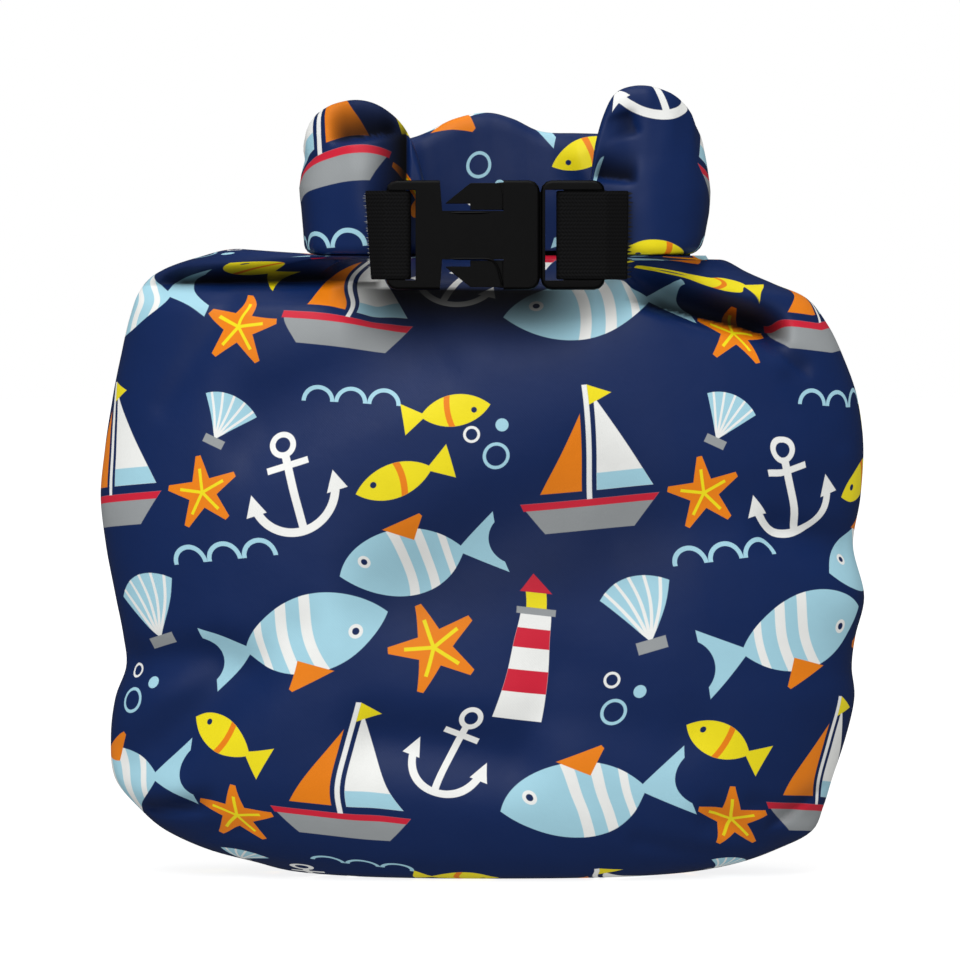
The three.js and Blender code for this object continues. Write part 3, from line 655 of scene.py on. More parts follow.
def make_coated_cloth():
    """Printed polyester with a film behind it: a soft satin sheen, a fine knit, slight crinkles, and painted
    shade that darkens its colour and roughens it in the folds' valleys and under the buckle.
    """
    material, tree, shader = new_material("coated_cloth")
    place = cloth_place(tree)
    pattern = tree.nodes.new("ShaderNodeGroup")
    pattern.node_tree = print_group()
    pattern.inputs["Ground"].default_value = NAVY
    tree.links.new(place, pattern.inputs["Cloth place"])
    weave = tree.nodes.new("ShaderNodeGroup")
    weave.node_tree = weave_group()
    weave.inputs["Spacing"].default_value = 0.9 * MM
    tree.links.new(place, weave.inputs["Cloth place"])

    shade = tree.nodes.new("ShaderNodeMix")
    shade.data_type = "RGBA"
    shade.blend_type = "MULTIPLY"
    shade.inputs["Factor"].default_value = 1
    tree.links.new(pattern.outputs["Colour"], shade.inputs[6])
    tone = spread(tree, noise(tree, place, 60, 4), 0.92, 1.06)
    tree.links.new(tone, shade.inputs[7])
    # Painted shade: the fold attribute mixes the colour towards near black in the valleys and under the
    # buckle, and raises the roughness there
    folds = tree.nodes.new("ShaderNodeAttribute")
    folds.attribute_name = "painted_fold_shade"
    tree.links.new(mix_colour(tree, folds.outputs["Fac"], shade.outputs[2], linear(1, 2, 7)),
                   shader.inputs["Base Color"])
    ink = Sketch(tree, place)
    satin = spread(tree, noise(tree, place, 140), 0.42, 0.52)
    tree.links.new(ink.math("MULTIPLY_ADD", folds.outputs["Fac"], 0.5, satin), shader.inputs["Roughness"])
    knit = bump(tree, weave.outputs["Height"], 0.25, 0.05 * MM)
    crinkle = bump(tree, noise(tree, place, 90, 4), 0.35, 0.6 * MM, knit)
    tree.links.new(crinkle, shader.inputs["Normal"])
    shader.inputs["Specular IOR Level"].default_value = 0.24
    return material


def make_webbing():
    """Black woven strap: herringbone ribs across it and a dull thread, its colour darker in the hollows
    between the ribs and paler on their tops, as painted shade.
    """
    material, tree, shader = new_material("woven_strap")
    place = cloth_place(tree)
    ink = Sketch(tree, place)
    x, y = ink.split(place)
    chevron = ink.math("ABSOLUTE", ink.math("WRAP", y, 2.5 * MM, -2.5 * MM))
    slant = ink.math("ADD", x, ink.math("MULTIPLY", chevron, 0.8))
    ribs = ink.math("SINE", ink.math("MULTIPLY", slant, 2 * math.pi / (1.1 * MM)))
    cords = ink.math("SINE", ink.math("MULTIPLY", y, 2 * math.pi / (1.25 * MM)))
    height = ink.math("MULTIPLY_ADD", ink.math("ADD", ribs, cords), 0.25, 0.5)
    # Painted shade: the colour follows the ribs' height, darker in the hollows and paler on the tops
    colour = mix_colour(tree, height, linear(15, 15, 15), linear(29, 29, 30))
    tree.links.new(colour, shader.inputs["Base Color"])
    tree.links.new(spread(tree, noise(tree, place, 900), 0.7, 0.95), shader.inputs["Roughness"])
    tree.links.new(bump(tree, height, 0.4, 0.2 * MM), shader.inputs["Normal"])
    shader.inputs["Specular IOR Level"].default_value = 0.08
    return material


def make_plastic():
    """Moulded black acetal: satin, with a fine spark texture and slightly paler worn patches."""
    material, tree, shader = new_material("moulded_plastic")
    place = tree.nodes.new("ShaderNodeTexCoord").outputs["Object"]
    wear = noise(tree, place, 160, 5)
    colour = mix_colour(tree, wear, linear(4, 4, 5), linear(10, 10, 11))
    tree.links.new(colour, shader.inputs["Base Color"])
    shader.inputs["Specular IOR Level"].default_value = 0.14
    tree.links.new(spread(tree, wear, 0.3, 0.42), shader.inputs["Roughness"])
    tree.links.new(bump(tree, noise(tree, place, 2600, 2), 0.25, 0.05 * MM), shader.inputs["Normal"])
    return material


def make_thread(name, colour):
    material, tree, shader = new_material(name)
    place = tree.nodes.new("ShaderNodeTexCoord").outputs["Object"]
    tree.links.new(spread(tree, noise(tree, place, 1500), 0.55, 0.8), shader.inputs["Roughness"])
    tree.links.new(bump(tree, noise(tree, place, 1800), 0.5, 0.1 * MM), shader.inputs["Normal"])
    shader.inputs["Base Color"].default_value = colour
    return material


def catmull(table, at):
    """A smooth curve through a table's rows. Between two rows it is the cubic whose slopes at them are half
    the step from the row before to the row after."""
    last = len(table) - 1
    at = np.clip(at, 0, last)
    row = np.minimum(at.astype(int), last - 1)
    t = (at - row)[:, None]
    before, start = table[np.maximum(row - 1, 0)], table[row]
    end, after = table[row + 1], table[np.minimum(row + 2, last)]
    return start + 0.5 * t * (end - before + t * (
        2 * before - 5 * start + 4 * end - after + t * (3 * (start - end) + after - before)))


def even_steps(lengths, count):
    """Places along a run whose steps have these lengths, such that count of them lie evenly apart."""
    travelled = np.concatenate([[0], np.cumsum(lengths)])
    return np.interp(np.linspace(0, travelled[-1], count), travelled, np.arange(len(travelled)))


def roll_table():
    """The roll's middle line: x, y and the height of its top, at even places along it."""
    half = (ROLL_WIDTH - ROLL_THICKNESS) / 2
    across, deep, top = ROLL_ROWS.T
    points = np.stack([
        MIDDLE_X + ROLL_SHIFT + across * half,
        MIDDLE_Y - ROLL_FRONT + ROLL_THICKNESS / 2 + deep * (ROLL_DEPTH - ROLL_THICKNESS),
        top * ROLL_HEIGHT,
    ], axis=1)
    fine = catmull(points, np.linspace(0, len(points) - 1, LINE_STEPS))
    lengths = np.linalg.norm(np.diff(fine, axis=0), axis=1)
    at = even_steps(lengths, ROLL_STEPS)
    return np.stack([np.interp(at, np.arange(LINE_STEPS), fine[:, k]) for k in range(3)], axis=1)


ROLL_LINE = roll_table()


def roll_place(share):
    """Middle, outward direction and top of the roll at shares of its length, each an array."""
    at = share * (len(ROLL_LINE) - 1)
    index = np.arange(len(ROLL_LINE))
    slope = np.gradient(ROLL_LINE[:, :2], axis=0)
    slope = slope / np.linalg.norm(slope, axis=1)[:, None]
    x, y, top = (np.interp(at, index, ROLL_LINE[:, k]) for k in range(3))
    out_x, out_y = np.interp(at, index, -slope[:, 1]), np.interp(at, index, slope[:, 0])
    return x, y, out_x, out_y, top


def neck_share(turn):
    """Which turns lie on the band's hollow side, and each turn's share of the roll's length."""
    far = 360 - FRONT_ANGLE
    hollow = (turn < FRONT_ANGLE) | (turn > far)
    share = np.where(turn < FRONT_ANGLE, 0.5 + turn / (2 * FRONT_ANGLE), (turn - far) / (2 * FRONT_ANGLE))
    return hollow, np.where(hollow, share, 1 - (turn - FRONT_ANGLE) / (far - FRONT_ANGLE))


def neck_lip(turn):
    """Two rings of the cloth that goes on from the neck up between the roll's layers."""
    hollow, share = neck_share(turn)
    x, y, out_x, out_y, _ = roll_place(share)
    aside = -FOLD_PITCH / 2 + np.where(hollow, -1, 1) * CLOTH_THICKNESS / 2
    rings = [np.stack([x + out_x * aside, y + out_y * aside, np.full_like(x, height)], axis=1)
             for height in (NECK_HEIGHT - 0.2 * MM, NECK_HEIGHT + 4 * MM)]
    return np.stack(rings)


def signed_power(value, power):
    return np.sign(value) * np.abs(value) ** power


def fold_shift(x, y, z, folds):
    """How far folds move points toward the middle plane: each is a Gauss bell of the distance from its
    run."""
    half_width, half_depth = BAG_WIDTH / 2, BAG_DEPTH / 2
    shift = np.zeros_like(x)
    for side, x1, z1, x2, z2, width, depth in folds:
        from_x, from_z = x - MIDDLE_X - x1 * half_width, z - z1 * NECK_HEIGHT
        run_x, run_z = (x2 - x1) * half_width, (z2 - z1) * NECK_HEIGHT
        along = np.clip((from_x * run_x + from_z * run_z) / (run_x ** 2 + run_z ** 2), 0, 1)
        away = np.hypot(from_x - along * run_x, from_z - along * run_z)
        facing = np.clip(side * (y - MIDDLE_Y) / (SIDE_SHARE * half_depth), 0, 1)
        shift -= side * facing * depth * half_depth * np.exp(-(away / (width * half_depth)) ** 2)
    return shift


def ledge_shift(x, y, z, ledges):
    """How far sharp folds move points toward the middle plane, and how much painted shade each point gets.
    Across the run both fall off as a Gauss bell, wide over the valley and narrow on its other side, and they
    fade in and out along the run."""
    half_width, half_depth = BAG_WIDTH / 2, BAG_DEPTH / 2
    shift, painted_shade = np.zeros_like(x), np.zeros_like(x)
    for side, x1, z1, x2, z2, width, depth, lip, shade in ledges:
        from_x, from_z = x - MIDDLE_X - x1 * half_width, z - z1 * NECK_HEIGHT
        run_x, run_z = (x2 - x1) * half_width, (z2 - z1) * NECK_HEIGHT
        length = math.hypot(run_x, run_z)
        along = (from_x * run_x + from_z * run_z) / length ** 2
        aside = (run_x * from_z - run_z * from_x) / length
        fade = soft_step(along / 0.25) * soft_step((1 - along) / 0.25)
        facing = np.clip(side * (y - MIDDLE_Y) / (SIDE_SHARE * half_depth), 0, 1)
        valley = aside > 0
        bell = np.exp(-(aside / np.where(valley, width * half_depth, lip * MM)) ** 2)
        shift -= side * facing * depth * half_depth * fade * bell
        bell = np.exp(-(aside / np.where(valley, width * half_depth, 0.35 * lip * MM)) ** 2)
        painted_shade = np.maximum(painted_shade, facing * shade * np.sqrt(fade) * bell)
    return shift, painted_shade


def pouch_surface(at, turn):
    """The pouch's outside at row places and at turns in degrees, anticlockwise from above, from the front's
    middle. A ring is a superellipse in plan, and towards the neck it blends to a thin band along the roll's
    line: its front third to the band's hollow side, the rest to its outside."""
    rows = catmull(POUCH_ROWS, at)
    rise, lift_left, lift_right, left, right, front, back, gather, bay = (rows[:, k, None] for k in range(9))
    angle = np.radians(270 + turn)
    cosine, sine = np.cos(angle), np.sin(angle)
    half_width, half_depth = BAG_WIDTH / 2, BAG_DEPTH / 2
    belly_x = half_width * ((right - left) / 2 + (left + right) / 2 * signed_power(cosine, 2 / PLUMPNESS))
    belly_y = half_depth * np.where(sine < 0, front, back) * signed_power(sine, 2 / PLUMPNESS)
    hollow, share = neck_share(turn)
    x, y, out_x, out_y, _ = roll_place(share)
    aside = np.where(hollow, -NECK_THICKNESS / 2, NECK_THICKNESS / 2)
    ease = np.where(hollow, np.sin(np.pi * np.clip(share, 0, 1)) ** 0.6, 0)
    blend = gather + (bay - gather) * ease
    px = (MIDDLE_X + belly_x) * (1 - blend) + (x + out_x * aside) * blend
    py = (MIDDLE_Y + belly_y) * (1 - blend) + (y + out_y * aside) * blend
    outward = (px - MIDDLE_X) / half_width
    pz = NECK_HEIGHT * (rise + np.where(outward < 0, lift_left, lift_right) * outward ** 2)
    py = py + fold_shift(px, py, pz, POUCH_FOLDS)
    return np.stack([px, py, pz], axis=2)


def soft_step(share):
    """From 0 to 1 with level ends: three squares less two cubes."""
    share = np.clip(share, 0, 1)
    return share * share * (3 - 2 * share)


def surface_normals(points):
    """Unit normals of a grid that closes on itself sideways, from the cross product of its two slopes."""
    sideways = np.roll(points, -1, axis=1) - np.roll(points, 1, axis=1)
    upwards = np.gradient(points, axis=0)
    normals = np.cross(sideways, upwards)
    return normals / np.maximum(np.linalg.norm(normals, axis=2, keepdims=True), 1e-12)


def ripples(x, y, z, length, seed):
    """Gentle unevenness: the mean of seven waves in random directions, about a given length each."""
    random = np.random.default_rng(seed)
    total = np.zeros_like(x)
    for _ in range(7):
        direction = random.normal(size=3)
        direction = direction / np.linalg.norm(direction)
        wave = length * random.uniform(0.7, 1.5)
        phase = random.uniform(0, 2 * math.pi)
        total += np.sin(2 * math.pi * (direction[0] * x + direction[1] * y + direction[2] * z) / wave + phase)
    return total / 7


def grid_object(name, points, places, material):
    """A closed mesh from a grid of points, rows by columns, whose rows close on themselves, with one face
    that fills the first row and one that fills the last. places holds each quad's four corners on the flat
    cloth, in metres."""
    rows, columns, _ = points.shape
    first = np.arange(columns)
    ring = np.stack([first, np.roll(first, -1), np.roll(first, -1) + columns, first + columns], axis=1)
    quads = (ring[None] + columns * np.arange(rows - 1)[:, None, None]).reshape(-1, 4).tolist()
    quads += [first[::-1].tolist(), (first + columns * (rows - 1)).tolist()]
    corners = np.concatenate([places.reshape(-1, 2), places[0, ::-1, 0], places[-1, :, 3]])
    mesh = bpy.data.meshes.new(name)
    mesh.from_pydata(points.reshape(-1, 3).tolist(), [], quads)
    layer = mesh.uv_layers.new(name="cloth")
    layer.data.foreach_set("uv", corners.astype(np.float32).ravel())
    mesh.materials.append(material)
    mesh.polygons.foreach_set("use_smooth", np.ones(len(mesh.polygons), dtype=bool))
    mesh.update()
    piece = bpy.data.objects.new(name, mesh)
    bpy.context.scene.collection.objects.link(piece)
    return piece


def set_painted_shade(piece, painted_shade):
    """Stores painted shade, from 0 to 1, on each point; the cloth's material darkens its colour by it."""
    layer = piece.data.attributes.new("painted_fold_shade", "FLOAT", "POINT")
    layer.data.foreach_set("value", painted_shade.astype(np.float32).ravel())


def corner_places(u_left, u_right, v_left, v_right):
    """Each quad's four corners on the flat cloth, from its rows' places at its columns' left and right."""
    left = np.stack([u_left, v_left], axis=2)
    right = np.stack([u_right, v_right], axis=2)
    return np.stack([left[:-1], right[:-1], right[1:], left[1:]], axis=2)


def pouch_places(points, seam_right, back_middle, seam_left):
    """The print's place on the pouch. Each panel is measured along the cloth from its own middle, and
    upwards from the ring that is nearest half height, so the two panels meet at the side seams."""
    steps = np.linalg.norm(np.roll(points, -1, axis=1) - points, axis=2)
    travelled = np.cumsum(steps, axis=1)
    u_left = np.concatenate([np.zeros((len(points), 1)), travelled[:, :-1]], axis=1)
    u_right = travelled
    column = np.arange(points.shape[1])
    back = (column >= seam_right) & (column < seam_left)
    start = np.where(back, u_left[:, back_middle, None] - BACK_PRINT_SHIFT, 0)
    start = np.where(column >= seam_left, travelled[:, -1, None], start)
    rises = np.linalg.norm(np.diff(points, axis=0), axis=2)
    climbed = np.concatenate([np.zeros((1, points.shape[1])), np.cumsum(rises, axis=0)])
    level = np.abs(points[:, 0, 2] - NECK_HEIGHT / 2).argmin()
    v = climbed - climbed[level] + NECK_HEIGHT / 2
    return corner_places(u_left - start, u_right - start, v, np.roll(v, -1, axis=1))


def make_pouch(material, rows=186, columns=390):
    """The pouch's outside as one closed shell, its columns spaced evenly over the cloth and its rings twice
    as close together near the neck, with rings that fill in its flat base and two more that go on up inside
    the roll."""
    turns = np.linspace(0, 360, TURN_STEPS)
    sample = pouch_surface(np.array([9.0, 14.0, 19.0, 21.0]), turns[:-1])
    lengths = np.linalg.norm(np.roll(sample, -1, axis=1) - sample, axis=2).mean(axis=0)
    turn = np.interp(even_steps(lengths, columns + 1), np.arange(TURN_STEPS), turns)[:-1]
    marks = [int(np.abs(turn - mark).argmin()) for mark in (90, 180, 270)]
    levels = np.linspace(0, len(POUCH_ROWS) - 1, LEVEL_STEPS)
    sample = pouch_surface(levels, turn[::10])
    lengths = np.linalg.norm(np.diff(sample, axis=0), axis=2).mean(axis=1)
    lengths = lengths * (1 + soft_step((sample[1:, 0, 2] / NECK_HEIGHT - 0.75) / 0.1))
    at = np.interp(even_steps(lengths, rows), np.arange(LEVEL_STEPS), levels)
    points = pouch_surface(at, turn)
    smooth = points.copy()
    points[:, :, 1] += fold_shift(*np.moveaxis(points, 2, 0), POUCH_CREASES)
    shift, painted_shade = ledge_shift(*np.moveaxis(points, 2, 0), POUCH_LEDGES)
    points[:, :, 1] += shift

    x, y, z = np.moveaxis(points, 2, 0)
    off_floor = np.clip(z / (0.06 * NECK_HEIGHT), 0, 1)
    standing = off_floor * np.clip((NECK_HEIGHT - z) / (0.05 * NECK_HEIGHT), 0, 1)
    uneven = 0.55 * MM * ripples(x, y, z, 52 * MM, 3) + 0.12 * MM * ripples(x, y, z, 21 * MM, 5)
    seam = np.zeros_like(x)
    for mark in (marks[0], marks[2]):
        gap = np.linalg.norm(points - points[:, mark, None], axis=2)
        seam -= SEAM_DEPTH * np.exp(-(gap / SEAM_WIDTH) ** 2)
    points = points + surface_normals(points) * (standing * (uneven + seam))[..., None]

    middle = points[0].mean(axis=0)
    inner = np.stack([middle + (points[0] - middle) * share for share in (0.04, 0.3, 0.55, 0.8)])
    lip = neck_lip(turn)
    points = np.concatenate([inner, points, lip])
    places = pouch_places(np.concatenate([inner, smooth, lip]), *marks)
    # Painted shade: the rings that go on up inside the roll are fully darkened
    painted_shade = np.concatenate([np.zeros((len(inner), columns)), painted_shade, np.ones((len(lip), columns))])
    piece = grid_object("pouch_cloth", points, places, material)
    set_painted_shade(piece, painted_shade)
    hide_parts("bag_body")
    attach(piece, "root")


def fold_line(turn_points=9, run_points=(32, 44, 8)):
    """The folded band's middle line: up the inner side, over the top, down the outer side, in at the foot
    and up the middle. Columns: across in pitches, share of the height, and lift in pitches."""
    over = np.linspace(math.pi, 0, turn_points)
    under = np.linspace(0, -math.pi, turn_points)
    top = np.stack([np.cos(over), np.ones(turn_points), np.sin(over) - 1.3], axis=1)
    foot = np.stack([0.5 + 0.5 * np.cos(under), np.zeros(turn_points), 0.8 + 0.5 * np.sin(under)], axis=1)
    stops = [np.array([-1, 0, 0.3]), top, foot, np.array([0, 0.82, -1])]
    line = [stops[0][None]]
    for stop, count in zip(stops[1:], run_points):
        stop = np.atleast_2d(stop)
        line += [np.linspace(line[-1][-1], stop[0], count + 1)[1:-1], stop]
    return np.concatenate(line)


def make_roll(material, stations=280):
    """The roll: at each place along its line, the folded layers' section as a closed outline of even
    thickness, a little fuller at mid height, with creases in its bends and an uneven top."""
    share = np.linspace(0, 1, stations)
    x, y, out_x, out_y, top = roll_place(share)
    length = np.concatenate([[0], np.cumsum(np.hypot(np.diff(x), np.diff(y)))])
    top = top + 0.7 * MM * ripples(length, 0 * length, 0 * length, 34 * MM, 11)
    line = fold_line()
    across = line[:, 0] * FOLD_PITCH * np.ones((stations, 1))
    height = line[:, 1] * top[:, None] + line[:, 2] * FOLD_PITCH
    along = np.stack([np.gradient(across, axis=1), np.gradient(height, axis=1)], axis=2)
    along = along / np.linalg.norm(along, axis=2, keepdims=True)
    side = np.stack([-along[..., 1], along[..., 0]], axis=2) * FOLD_LAYER / 2
    middle = np.stack([across, height], axis=2)
    section = np.concatenate([middle + side, (middle - side)[:, ::-1]], axis=1)

    level = section[..., 1] / ROLL_HEIGHT
    curl = np.gradient(np.unwrap(np.arctan2(out_y, out_x)), length)
    bend = np.clip(np.abs(curl) * 22 * MM, 0, 1)[:, None]
    pleats = np.sin(length[:, None] * 2 * math.pi / (9 * MM) + 5 * level) * bend * 0.25 * MM
    soft = 0.5 * MM * ripples(length[:, None] + 0 * level, 0 * level, section[..., 1], 30 * MM, 17)
    inner_side = np.clip(-section[..., 0] / FOLD_PITCH, 0, 1)
    section[..., 0] *= 1 - 0.5 * soft_step((level - 0.3) / 0.6)
    loose = np.clip((level - 0.45) * 4, 0, 1) + inner_side
    section[..., 0] += np.clip(loose, 0, 1) * (pleats + soft)
    for side, profile in ROLL_SIDES:
        facing = np.clip(side * out_x, 0, 1)[:, None] ** 2
        section[..., 0] += facing * np.interp(level, *np.array(profile).T) * MM

    foot = NECK_HEIGHT + GAP
    points = np.stack([
        x[:, None] + out_x[:, None] * section[..., 0],
        y[:, None] + out_y[:, None] * section[..., 0],
        foot + section[..., 1],
    ], axis=2)
    points[:, :, 1] += fold_shift(*np.moveaxis(points, 2, 0), ROLL_FOLDS)
    shift, painted_shade = ledge_shift(*np.moveaxis(points, 2, 0), ROLL_LEDGES)
    points[:, :, 1] += shift
    painted_shade = painted_shade[:, ::-1]
    points = points[:, ::-1]
    travelled = np.cumsum(np.linalg.norm(np.roll(points, -1, axis=1) - points, axis=2)[stations // 2])
    v_left = np.concatenate([[0], travelled[:-1]]) * np.ones((stations, 1))
    v_right = travelled * np.ones((stations, 1))
    u = ROLL_PRINT_START + length[:, None] * np.ones((1, points.shape[1]))
    places = corner_places(u, u, v_left, v_right)
    piece = grid_object("rolled_cloth", points, places, material)
    set_painted_shade(piece, painted_shade)
    turn_outwards(piece)
    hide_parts("rolled_collar")
    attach(piece, "root")


def turn_outwards(piece):
    """Recalculates a closed mesh's normals so that they point out."""
    mesh = bmesh.new()
    mesh.from_mesh(piece.data)
    bmesh.ops.recalc_face_normals(mesh, faces=mesh.faces)
    mesh.to_mesh(piece.data)
    mesh.free()


def strap_line(bar_near, bar_far, end):
    """A strap's middle line in plan: along the roll's face from the sewn end, round the bar and back to the
    end. The turn is half a flattened circle."""
    away = math.copysign(1, bar_far - bar_near)
    bar_y = MIDDLE_Y - ROLL_FRONT - GAP - 4 * MM
    reach = BAR_THICKNESS / 2 + GAP + STRAP_THICKNESS / 2
    back = MIDDLE_Y - ROLL_FRONT - 1.5 * GAP - STRAP_THICKNESS / 2
    front = back - STRAP_THICKNESS - 0.1 * MM
    corner = 1.4 * MM
    near = bar_near - away * (GAP + STRAP_THICKNESS / 2 + 0.05 * MM)
    arc = np.linspace(math.pi / 2, 0, 7)
    turn_back = np.stack([near + away * corner * (1 - np.cos(arc)),
                          bar_y + reach - corner + corner * np.sin(arc)], axis=1)
    turn_front = np.stack([turn_back[::-1, 0], 2 * bar_y - turn_back[::-1, 1]], axis=1)
    far = bar_far + away * GAP
    start = np.array([[end, back], [(end + far) / 2, back]])
    lead_in = np.array([[far, bar_y + reach]])
    lead_out = np.array([[far, bar_y - reach]])
    finish = np.array([[(far * 2 + end) / 3, (2 * (bar_y - reach) + front) / 3], [end, front]])
    stops = np.concatenate([start, lead_in, turn_back, turn_front, lead_out, finish])
    lengths = np.linalg.norm(np.diff(stops, axis=0), axis=1)
    at = even_steps(lengths, 90)
    return np.stack([np.interp(at, np.arange(len(stops)), stops[:, k]) for k in range(2)], axis=1)


def make_strap(name, node, bar_near, bar_far, end, slant, fray, material):
    """A strap: a flat section with round edges, carried along its line. Its cut end leans by slant to each
    side of its middle, and loose yarns stand out of it."""
    line = strap_line(bar_near, bar_far, end)
    slope = np.gradient(line, axis=0)
    slope = slope / np.linalg.norm(slope, axis=1)[:, None]
    side = np.stack([-slope[:, 1], slope[:, 0]], axis=1)
    middle_z = (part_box(node)[0].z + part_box(node)[1].z) / 2
    edge = np.linspace(-math.pi / 2, math.pi / 2, 5)
    half, thick = STRAP_WIDTH / 2, STRAP_THICKNESS / 2
    round_edge = 0.5 * MM
    flat = np.linspace(-half + round_edge, half - round_edge, 26)
    top = np.stack([half - round_edge + round_edge * np.cos(edge), thick * np.sin(edge)], axis=1)
    outline = np.concatenate([
        np.stack([flat[1:-1], np.full(24, -thick)], axis=1), top,
        np.stack([flat[::-1][1:-1], np.full(24, thick)], axis=1), -top,
    ])
    length = np.concatenate([[0], np.cumsum(np.linalg.norm(np.diff(line, axis=0), axis=1))])
    near_end = soft_step(1 - np.abs(line[:, 0] - end) / abs(bar_far - end)) * slant
    points = np.stack([
        line[:, 0, None] + side[:, 0, None] * outline[:, 1] + near_end[:, None] * outline[:, 0] / half,
        line[:, 1, None] + side[:, 1, None] * outline[:, 1],
        middle_z + outline[:, 0] * np.ones((len(line), 1)),
    ], axis=2)
    u = length[:, None] * np.ones((1, len(outline)))
    v = outline[:, 0] * np.ones((len(line), 1))
    places = corner_places(u, u, v, np.roll(v, -1, axis=1))
    piece = grid_object(name, points, places, material)
    turn_outwards(piece)
    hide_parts(node)
    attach(piece, "root")
    away = math.copysign(1, bar_far - bar_near)
    front = line[-1, 1]
    for number, (count, shortest, longest, thick, yarn) in enumerate(fray):
        make_fray(f"{name}_yarns_{number + 1}", (end, front, middle_z), away, slant,
                  (count, shortest, longest, thick), yarn)


def make_fray(name, place, away, slant, sizes, material):
    """Loose yarns at a strap's cut end: thin four-sided spikes of uneven length, evenly spread over the
    width."""
    count, shortest, longest, thick = sizes
    end, front, middle_z = place
    random = np.random.default_rng(count)
    level = np.linspace(-1, 1, count) * (1 - 0.5 / count)
    z = middle_z + level * (STRAP_WIDTH / 2 - thick * MM)
    start = end + slant * level
    reach = random.uniform(shortest, longest, count) * MM
    y = front + random.uniform(-0.45, 0.45, count) * MM
    square = np.array([[1, 1], [-1, 1], [-1, -1], [1, -1]]) * thick * MM
    base = np.stack([
        (start - away * 0.5 * MM)[:, None] * np.ones((1, 4)),
        y[:, None] + square[:, 0] * min(1, 0.3 / thick), z[:, None] + square[:, 1],
    ], axis=2)
    tip = np.stack([start + away * reach, y + random.normal(0, 0.2, count) * MM,
                    z + random.normal(0, 0.25, count) * MM], axis=1)
    points = np.concatenate([base, tip[:, None]], axis=1).reshape(-1, 3)
    faces = np.array([[0, 1, 4], [1, 2, 4], [2, 3, 4], [3, 0, 4]])
    spikes = (faces[None] + 5 * np.arange(count)[:, None, None]).reshape(-1, 3).tolist()
    backs = (np.array([3, 2, 1, 0]) + 5 * np.arange(count)[:, None]).tolist()
    mesh = bpy.data.meshes.new(name)
    mesh.from_pydata(points.tolist(), [], spikes + backs)
    mesh.materials.append(material)
    piece = bpy.data.objects.new(name, mesh)
    bpy.context.scene.collection.objects.link(piece)
    turn_outwards(piece)
    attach(piece, "root")


def piece_from(name, mesh, material):
    """Turns a bmesh into a piece in the scene."""
    data = bpy.data.meshes.new(name)
    mesh.to_mesh(data)
    mesh.free()
    data.materials.append(material)
    piece = bpy.data.objects.new(name, data)
    bpy.context.scene.collection.objects.link(piece)
    return piece


def round_edges(piece, width):
    """Rounds a moulded piece's sharp edges."""
    rounding = piece.modifiers.new("rounded_edges", "BEVEL")
    rounding.width = width
    rounding.segments = 3
    rounding.limit_method = "ANGLE"
    rounding.angle_limit = math.radians(SHARP_EDGE)


def buckle_middle():
    """The y of the buckle's face and the height of its middle."""
    low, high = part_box("buckle_socket")[0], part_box("buckle_socket")[1]
    return low.y, (low.z + high.z) / 2


def make_moulding(name, node, material, edge):
    """A moulded half of the buckle: the frame's own solid, its flat faces joined and its edges rounded."""
    mesh = bmesh.new()
    mesh.from_mesh(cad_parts[node].data)
    bmesh.ops.remove_doubles(mesh, verts=mesh.verts, dist=0.002 * MM)
    bmesh.ops.dissolve_limit(mesh, angle_limit=math.radians(1), verts=mesh.verts, edges=mesh.edges)
    piece = piece_from(name, mesh, material)
    round_edges(piece, edge)
    piece.data.polygons.foreach_set("use_smooth", np.ones(len(piece.data.polygons), dtype=bool))
    weighted = piece.modifiers.new("even_shading", "WEIGHTED_NORMAL")
    weighted.keep_sharp = True
    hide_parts(node)
    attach(piece, "root")


def make_plate(name, outline, front, back, edge, material):
    """A moulded plate: an outline in millimetres across and up from the buckle's middle, between two depths
    from its face, with rounded edges."""
    face, middle = buckle_middle()
    mesh = bmesh.new()
    rings = []
    for depth in (front, back):
        y = face + depth * MM
        rings.append([mesh.verts.new((MIDDLE_X + x * MM, y, middle + z * MM)) for x, z in outline])
    mesh.faces.new(rings[0])
    mesh.faces.new(rings[1][::-1])
    for k in range(len(outline)):
        after = (k + 1) % len(outline)
        mesh.faces.new((rings[0][k], rings[1][k], rings[1][after], rings[0][after]))
    bmesh.ops.recalc_face_normals(mesh, faces=mesh.faces)
    piece = piece_from(name, mesh, material)
    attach(piece, "root")
    round_edges(piece, edge * MM)


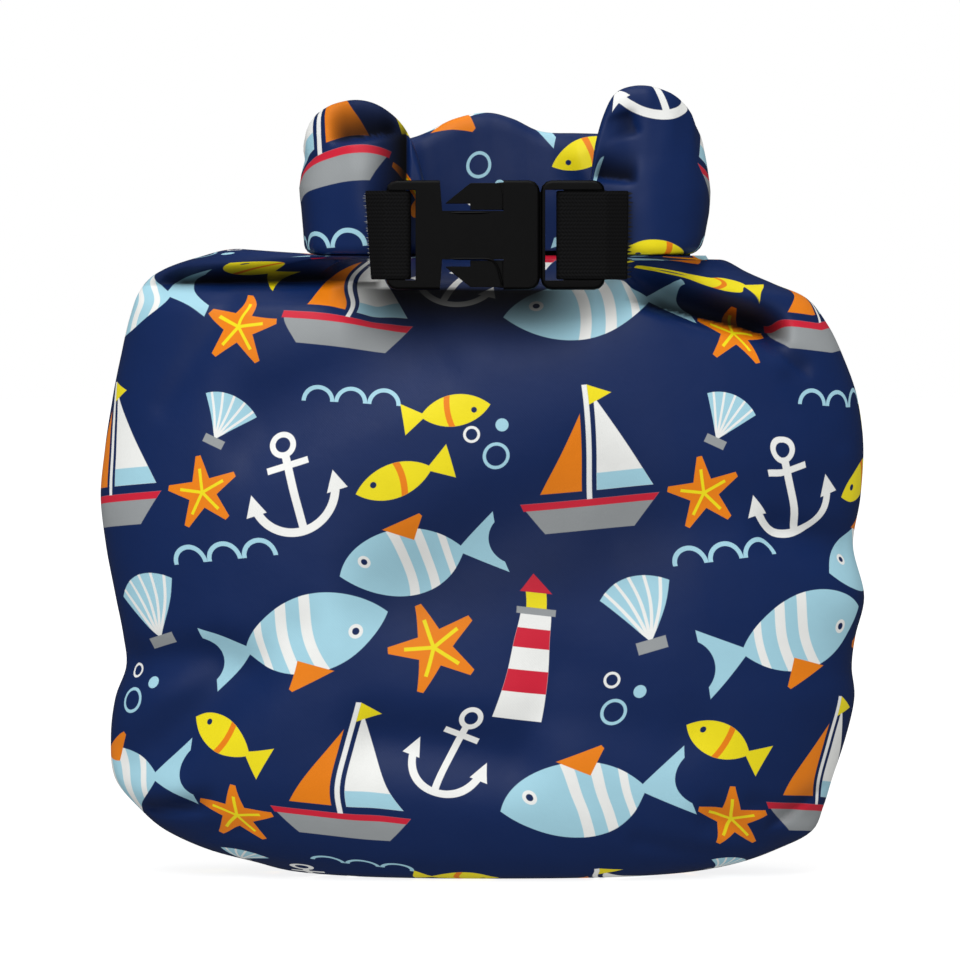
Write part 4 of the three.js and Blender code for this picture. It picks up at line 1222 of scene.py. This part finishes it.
def make_bead(name, line, radius, material, sides=8, steps=6):
    """A moulded bead: a round section carried along a smooth curve through the line's points, half sunk in
    the buckle's face, its ends drawn to a point."""
    face, middle = buckle_middle()
    last = len(line) - 1
    path = catmull(np.array(line, dtype=float), np.linspace(0, last, steps * last + 1)) * MM
    slope = np.gradient(path, axis=0)
    slope = slope / np.linalg.norm(slope, axis=1)[:, None]
    from_end = np.minimum(np.arange(len(path)), np.arange(len(path))[::-1])
    swell = np.minimum(1, from_end / 3 + 0.05) * radius * MM
    angle = np.linspace(0, 2 * math.pi, sides, endpoint=False)
    across = swell[:, None] * np.cos(angle)
    points = np.stack([
        MIDDLE_X + path[:, 0, None] - slope[:, 1, None] * across,
        face - swell[:, None] * np.sin(angle) * 0.6,
        middle + path[:, 1, None] + slope[:, 0, None] * across,
    ], axis=2)
    piece = grid_object(name, points, np.zeros((len(path) - 1, sides, 4, 2)), material)
    turn_outwards(piece)
    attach(piece, "root")


make_camera()
make_studio()
coated_cloth = make_coated_cloth()
woven_strap = make_webbing()
moulded_plastic = make_plastic()
black_thread = make_thread("black_thread", linear(18, 18, 18))
grey_thread = make_thread("grey_thread", linear(150, 150, 147))

make_pouch(coated_cloth)
make_roll(coated_cloth)

socket_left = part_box("buckle_socket")[0].x
plug_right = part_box("buckle_plug")[1].x
left_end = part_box("webbing_left")[0].x + 1.4 * MM
right_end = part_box("webbing_right")[1].x - 0.9 * MM
right_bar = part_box("webbing_right")[0].x + 1.3 * MM
# How many, shortest, longest, half thickness and thread: the yarns of each cut end, in millimetres
left_yarns = [(40, 0.1, 0.8, 0.3, black_thread), (67, 0.3, 1.7, 0.24, grey_thread)]
right_yarns = [(21, 1.7, 2.3, 0.75, black_thread), (31, 0.4, 2.0, 0.25, black_thread)]
make_strap("strap_left", "webbing_left", socket_left + 6.6 * MM, socket_left, left_end, -1.0 * MM,
           left_yarns, woven_strap)
make_strap("strap_right", "webbing_right", right_bar, plug_right, right_end, 0.2 * MM,
           right_yarns, woven_strap)
make_moulding("socket_moulding", "buckle_socket", moulded_plastic, 0.35 * MM)
make_moulding("plug_moulding", "buckle_plug", moulded_plastic, 0.3 * MM)
for name, outline, front, back, edge in BUCKLE_PLATES:
    make_plate(name, outline, front, back, edge, moulded_plastic)
for name, line, radius in BUCKLE_BEADS:
    make_bead(name, line, radius, moulded_plastic)
